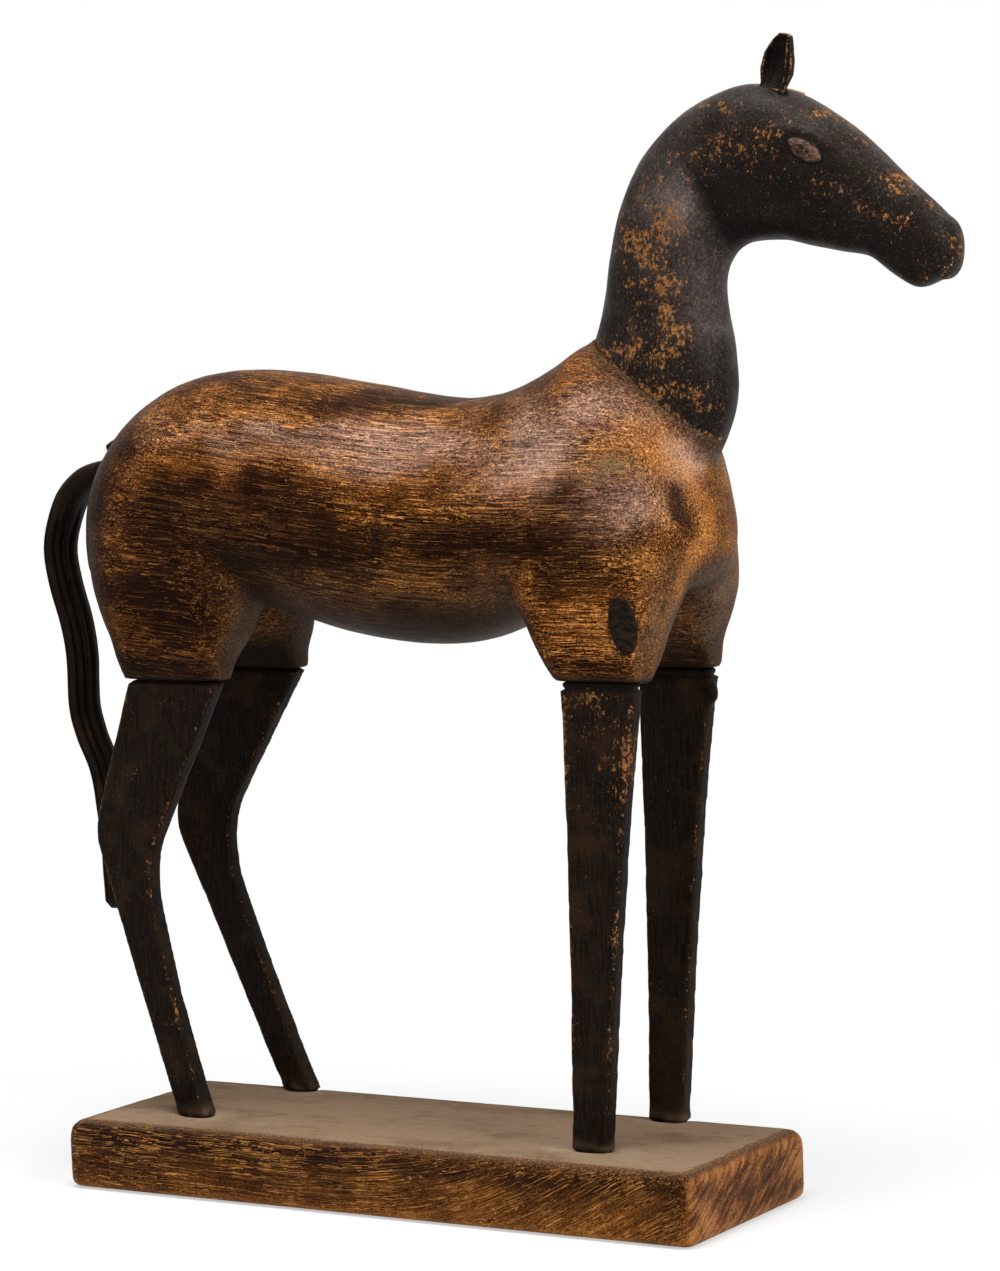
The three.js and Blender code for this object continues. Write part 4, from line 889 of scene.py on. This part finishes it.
def neck_and_head():
    """The neck rising from its seat and the head, one skin with a valley behind each cheek."""
    rings = body_rings(NECK, 200, 128)
    muzzle = rounded_end(rings[-1], MUZZLE_AHEAD, 9.5, 10)
    verts, faces, edges = voxelled([closed_loft(np.concatenate([rings, muzzle]))], 1.3, 6, 0.3, 0.4)
    past = np.maximum(GLUE - over_seat(verts), 0)
    verts = drawn_to_seat(verts, past, 1)
    out, bend = lie_of(verts, faces, edges, 14)
    w = in_place(verts)
    flank = clipped(np.abs(out[:, 1]) * 2.5 - 0.4)
    far, place = line_distance(w[:, [0, 2]], VALLEY)
    eye = oval_share(w[:, [0, 2]], EYE_AT, EYE_TURN, EYE_HALF)
    push = -np.interp(place, np.arange(len(VALLEY)), VALLEY_SINK) * close_to(far, 6.0)
    push += 1.6 * dab(w, (170, 15, 517), (16, 60, 18)) + 1.2 * dab(w, (212, 15, 522), (17, 60, 18))
    push += 0.9 * close_to(eye - 1.7, 0.4) * (w[:, 2] > 543) - 0.9 * close_to(eye - 1.12, 0.13)
    push = push * flank + 0.35 * noise(w, 22, 9) + 0.12 * noise(w, 6, 2)
    verts = verts + np.where(past > 0, 0, push)[:, None] * out
    w = in_place(verts)
    worn, sheen = neck_wear(w, over_seat(verts), out, bend)
    # Less painted sheen on the cheeks.
    sheen = sheen * (1 - 0.8 * flank * dab(w, (208, 15, 520), (20, 60, 16)))
    # Painted shade in the groove round the eye and in the crease behind each cheek.
    socket = 0.9 * close_to(eye - 1.08, 0.09)
    valley = 0.7 * close_to(far, 3.0) * (place > 1.5)
    return w, faces, {"worn": worn, "sheen": sheen, "grime_and_shade": flank * np.maximum(socket, valley)}


def seat_line():
    """The closed line where the neck's skin meets its seat, in the model's frame."""
    rings = body_rings(NECK, 240, 260)
    height = over_seat(rings) - GLUE
    last = (height < 0).astype(int).cumprod(axis=0).sum(axis=0)
    last = np.clip(last, 1, len(rings) - 1)
    column = np.arange(rings.shape[1])
    low, high = height[last - 1, column], height[last, column]
    share = clipped(-low / np.maximum(high - low, 1e-9))[:, None]
    return in_place(rings[last - 1, column] * (1 - share) + rings[last, column] * share)


def bead(line, radius, seed):
    """An uneven bead of filler: flattened rings along a closed line, mostly sunk into the joint."""
    points = 10
    ahead = unit(np.roll(line, -1, 0) - np.roll(line, 1, 0))
    line = line + (1.1 + 1.6 * ahead[:, 1:2] ** 2) * unit(line.mean(0) - line)
    side = unit(np.cross(ahead, SEAT_UP))
    up = np.cross(side, ahead)
    swell = 1 + 0.8 * noise(line, 7, seed) + 0.6 * noise(line, 2.2, seed + 1)
    size = radius * np.maximum(0.3, swell)[:, None, None]
    turn = once_round(points)[None, :, None]
    rings = line[:, None] + size * (np.cos(turn) * side[:, None] * 1.5 + np.sin(turn) * up[:, None] * 0.8)
    faces = grid_faces(len(line) + 1, points) % (len(line) * points)
    return rings.reshape(-1, 3), faces.tolist(), {}


# Legs, base and small pieces

COLLAR_Z, COLLAR_SWELL = 277.9, 1.4
LUMP, LUMP_SIZE = (151, 50, 266), (4.5, 6, 5.5)
SLAT_SPOTS = {
    "fore_leg_right": [
        (128, -31, 264, 28, 14, 9, 0.8), (112, -31, 245, 8, 14, 26, 0.85), (146, -31, 240, 7, 14, 30, 0.8),
        (128, -31, 150, 20, 14, 12, 0.4), (118, -31, 95, 12, 14, 14, 0.4),
    ],
    "hind_leg_right": [
        (-135, -31, 268, 30, 14, 5, 0.6), (-165, -31, 200, 16, 14, 40, 0.25),
        (-150, -31, 95, 10, 14, 14, 0.4),
    ],
}
FEET = ((116, -25.5), (117, 56.5), (-133, -25.5), (-118, 56.5))
PLANK_WORN = [
    (150, -66, 8, 40, 12, 8, 0.5), (193, -50, 10, 8, 20, 12, 1.0), (193, 10, 34, 8, 60, 6, 0.9),
    (60, -66, 34, 140, 8, 5, 0.45), (193, 60, 20, 8, 14, 20, 0.7), (-30, -66, 8, 90, 8, 7, 0.4),
]


def slat(name):
    """A slat with its joints, its edges rubbed round and its faces a little uneven."""
    verts, faces, edges = voxelled([node_shape(name)], 1.15)
    rubbed = clipped((verts[:, 2] - PLANK_TOP - 2) / 5) * clipped((SLAT_TOP - verts[:, 2]) / 5)
    verts = verts + rubbed[:, None] * (relaxed(verts, faces, edges, 4, 0.45, 0.45) - verts)
    out, bend = lie_of(verts, faces, edges, 8)
    ridge = clipped(bend / 0.5)
    shown = (verts[:, 2] > PLANK_TOP + 1) & (verts[:, 2] < SLAT_TOP - 1)
    lump = dab(verts, LUMP, LUMP_SIZE) * (name == "fore_leg_left")
    push = 0.35 * noise(verts, 26, 4) + 0.1 * noise(verts, 7, 8) + 2.6 * lump
    push -= 0.5 * ridge * clipped(noise(verts, 6, 21) + 0.1)
    verts = verts + (push * shown)[:, None] * out
    # A swollen band just under the stub; it and the pitch lump are darkened.
    collar = close_to(verts[:, 2] - COLLAR_Z, 1.7) * (np.abs(out[:, 2]) < 0.5) * (verts[:, 0] > 0)
    verts = verts + COLLAR_SWELL * collar[:, None] * out
    worn = 0.6 * ridge * clipped((SLAT_TOP - verts[:, 2]) / 8) + dabs(verts, SLAT_SPOTS.get(name, []))
    foot = close_to(np.maximum(verts[:, 2] - PLANK_TOP, 0), 4.5) * clipped(0.6 + noise(verts, 7, 6))
    return verts, faces, {"worn": clipped(worn), "foot": foot, "grime_and_shade": np.maximum(collar, lump)}


def plank():
    """The plank base, its edges knocked and rubbed, with dust gathered round the feet."""
    verts, faces, edges = voxelled([node_shape("base")], 2.0, 8, 0.45, 0.1)
    out, bend = lie_of(verts, faces, edges, 10)
    ridge = clipped(bend / 0.9)
    push = 0.5 * noise(verts, 48, 12) + 0.15 * noise(verts, 9, 13)
    push -= 0.9 * ridge * clipped(noise(verts, 12, 15, 3))
    push = np.minimum(push, 0.0) * np.where(verts[:, 2] > 6, 1.0, 0.3)
    verts = verts + np.where(verts[:, 2] < 0.6, 0, push)[:, None] * out
    worn = clipped(dabs(verts, PLANK_WORN) + 0.3 * ridge + 0.55 * close_to(verts[:, 2], 5))
    foot = dabs(verts, [(x, y, PLANK_TOP, 19, 13, 8, 0.9) for x, y in FEET])
    return verts, faces, {"worn": worn, "foot": foot}


# The tail's middle line, x and z from its root
TAIL = [
    (3, 1), (-5, 0.5), (-18.5, -4), (-31, -14.5), (-38.3, -30), (-41.2, -45), (-38.5, -63), (-32.3, -84),
    (-29, -103), (-29, -130), (-25, -147), (-17, -166), (-12.5, -190), (-10.5, -216), (-9.5, -246),
]
# The tail's root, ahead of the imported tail's rearmost point and above the stubs' feet
TAIL_ROOT, TAIL_RISE = 48.45, 108
TAIL_HALF, TAIL_TIP_HALF, TAIL_THICK = 12, 8.5, 7.25
FLUTES, FLUTE_DEPTH = 10, 1.5


def tail():
    """A bowed rounded bar, fluted lengthwise below its bend, tapering a little to its tip."""
    rings, points = 260, 120
    path = through(TAIL, 900)
    along = np.concatenate([[0], np.cumsum(np.linalg.norm(np.diff(path, axis=0), axis=1))])
    share = np.linspace(0, 1, rings)
    path = np.stack([np.interp(share * along[-1], along, path[:, k]) for k in (0, 1)], -1)
    ahead = unit(np.gradient(path, axis=0))
    out = np.stack([ahead[:, 1], 0 * share, -ahead[:, 0]], -1)
    centre = np.stack([path[:, 0], 0 * share, path[:, 1]], -1)
    turn = once_round(points)[None]
    swell = np.minimum(1, 0.75 + share * 3) * np.where(share > 0.985, 1 - (share - 0.985) * 25, 1)
    half = (TAIL_HALF + (TAIL_TIP_HALF - TAIL_HALF) * share) * swell
    groove = np.maximum(0, np.cos(FLUTES * turn)) ** 1.5 * clipped((share[:, None] - 0.13) * 12)
    flute = groove * FLUTE_DEPTH
    x = squared(np.cos(turn), 2.6) * (TAIL_THICK * swell[:, None] - flute)
    y = squared(np.sin(turn), 2.6) * (half[:, None] - flute)
    bar = centre[:, None] + x[:, :, None] * out[:, None] + y[:, :, None] * (0.0, 1.0, 0.0)
    root_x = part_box("tail")[0].x / MM + TAIL_ROOT
    verts, faces = closed_loft(bar + (root_x, HORSE_Y, TRUNK_Z + TAIL_RISE))
    verts = verts + 0.25 * noise(verts, 18, 31)[:, None]
    # Painted shade in the flutes.
    grime_and_shade = np.append(groove, [0, 0])
    worn = np.append(np.repeat(clipped(0.9 - share * 7), points), [0, 0])
    return verts, faces, {"worn": 0.35 * worn, "grime_and_shade": grime_and_shade, "foot": 0 * grime_and_shade}


def worn_node(name, voxel, rough):
    """A small CAD piece with its edges softened and its faces made uneven."""
    verts, faces, edges = voxelled([node_shape(name)], voxel, 3, 0.4, 0.4)
    out, bend = lie_of(verts, faces, edges, 6)
    verts = verts + (rough * noise(verts, 4, len(name), 3))[:, None] * out
    ridge = clipped(bend / 0.15)
    return verts, faces, {"worn": ridge} | dict.fromkeys(("sheen", "grime_and_shade", "foot"), 0 * ridge)


# The statue

WOOD = carved_wood()
PAINT = black_paint()
SLAT = slat_paint()
PLANK = plank_wood()
FILLER = small_wood("filler", (0.016, 0.01, 0.006), (0.13, 0.078, 0.042), 0.7)
BARE = small_wood("bare_wood", (0.14, 0.07, 0.035), (0.42, 0.26, 0.15), 0.7)
EYE = small_wood("eye_wood", (0.014, 0.0072, 0.0042), (0.13, 0.076, 0.048), 0.3)
PLUG = small_wood("plug_wood", (0.004, 0.002, 0.0011), (0.021, 0.0108, 0.0056), 0.4)

piece("carved_trunk", trunk(), WOOD, "stained_wood", "torso")
piece("carved_neck_head", neck_and_head(), PAINT, "black_paint", "neck_head")
piece("seat_filler", bead(seat_line(), 0.75, 3), FILLER, "stained_wood")
for leg in ("fore_leg_right", "fore_leg_left", "hind_leg_right", "hind_leg_left"):
    piece("painted_" + leg, slat(leg), SLAT, "leg_paint", leg)
piece("worn_plank", plank(), PLANK, "dusty_wood", "base")
piece("fluted_tail", tail(), SLAT, "leg_paint", "tail")
for node, shown, finish, slot_name, voxel, rough in (
    ("tail_wedge", "croup_key", PAINT, "black_paint", 0.8, 0.3),
    ("shoulder_plug", "oval_plug", PLUG, "black_paint", 0.6, 0.35),
    ("ear_right", "scooped_ear", PAINT, "black_paint", 0.55, 0.25),
    ("ear_left_stump", "torn_ear_stump", BARE, "bare_wood", 0.6, 0.8),
    ("eye_right", "almond_eye_right", EYE, "leg_paint", 0.4, 0.1),
    ("eye_left", "almond_eye_left", EYE, "leg_paint", 0.4, 0.1),
):
    piece(shown, worn_node(node, voxel, rough), finish, slot_name, node)
for node in ("neck_dowel_rear", "neck_dowel_front"):
    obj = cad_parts[node]
    obj.data.materials.clear()
    obj.data.materials.append(BARE)


# Stage, camera and light

FLOOR_SIZE, FLOOR_DROP = 14, 0.0005
CAMERA_AT = (1.1134, -1.7807, 0.4632)
YAW, PITCH, ROLL = math.radians(30.74), math.radians(4.5), math.radians(-1.87)
SENSOR = 36
PHOTO_HEIGHT, FOCAL_PIXELS = 1271, 3967
LAMPS = (
    ("top", (0.0, -0.45, 2.15), (0, 0, 0.3), 1.3, 47),
    ("front", (2.0, -0.55, 1.1), (0.1, 0, 0.4), 1.1, 34),
    ("fill", (-0.9, -2.0, 1.3), (0, 0, 0.35), 1.3, 6),
)
AIR = 0.10


def stage():
    """A pale floor that runs on past the picture, seen in soft studio light."""
    bpy.ops.mesh.primitive_plane_add(size=FLOOR_SIZE)
    floor = bpy.context.object
    floor.name = "floor"
    floor.data.transform(Matrix.Translation((0, 0, -FLOOR_DROP)))
    floor.data.materials.append(pale_floor())


def camera():
    """The photograph's view: from the right and a little in front and above, turned slightly."""
    data = bpy.data.cameras.new("camera")
    data.sensor_fit = "VERTICAL"
    data.sensor_height = SENSOR
    data.lens = SENSOR * FOCAL_PIXELS / PHOTO_HEIGHT
    data.clip_start, data.clip_end = 0.05, 50
    eye = placed("camera", data)
    eye.matrix_world = Matrix.Translation(CAMERA_AT)
    for angle, axis in ((YAW, "Z"), (math.pi / 2 - PITCH, "X"), (ROLL, "Z")):
        eye.matrix_world = eye.matrix_world @ Matrix.Rotation(angle, 4, axis)
    bpy.context.scene.camera = eye


def area(name, place, aim, size, watts):
    """A square soft light at a place, aimed at a point."""
    data = bpy.data.lights.new(name, "AREA")
    data.size = size
    data.energy = watts
    lamp = placed(name, data)
    ahead = (Vector(aim) - Vector(place)).normalized()
    lamp.matrix_world = Matrix.Translation(place) @ ahead.to_track_quat("-Z", "Y").to_matrix().to_4x4()


def studio_air():
    """White behind the statue and in its reflections, and a plain even light on it."""
    t = Tree("studio", bpy.data.worlds)
    light = {"Color": (1, 1, 1, 1), "Strength": t.step(t.seen(), 0, 1, AIR, 1.0)}
    back = t.node("Background", light).outputs[0]
    bpy.context.scene.world = t.finish(back, "OutputWorld")


stage()
camera()
for lamp in LAMPS:
    area(*lamp)
studio_air()
bpy.context.scene.view_settings.view_transform = "Standard"
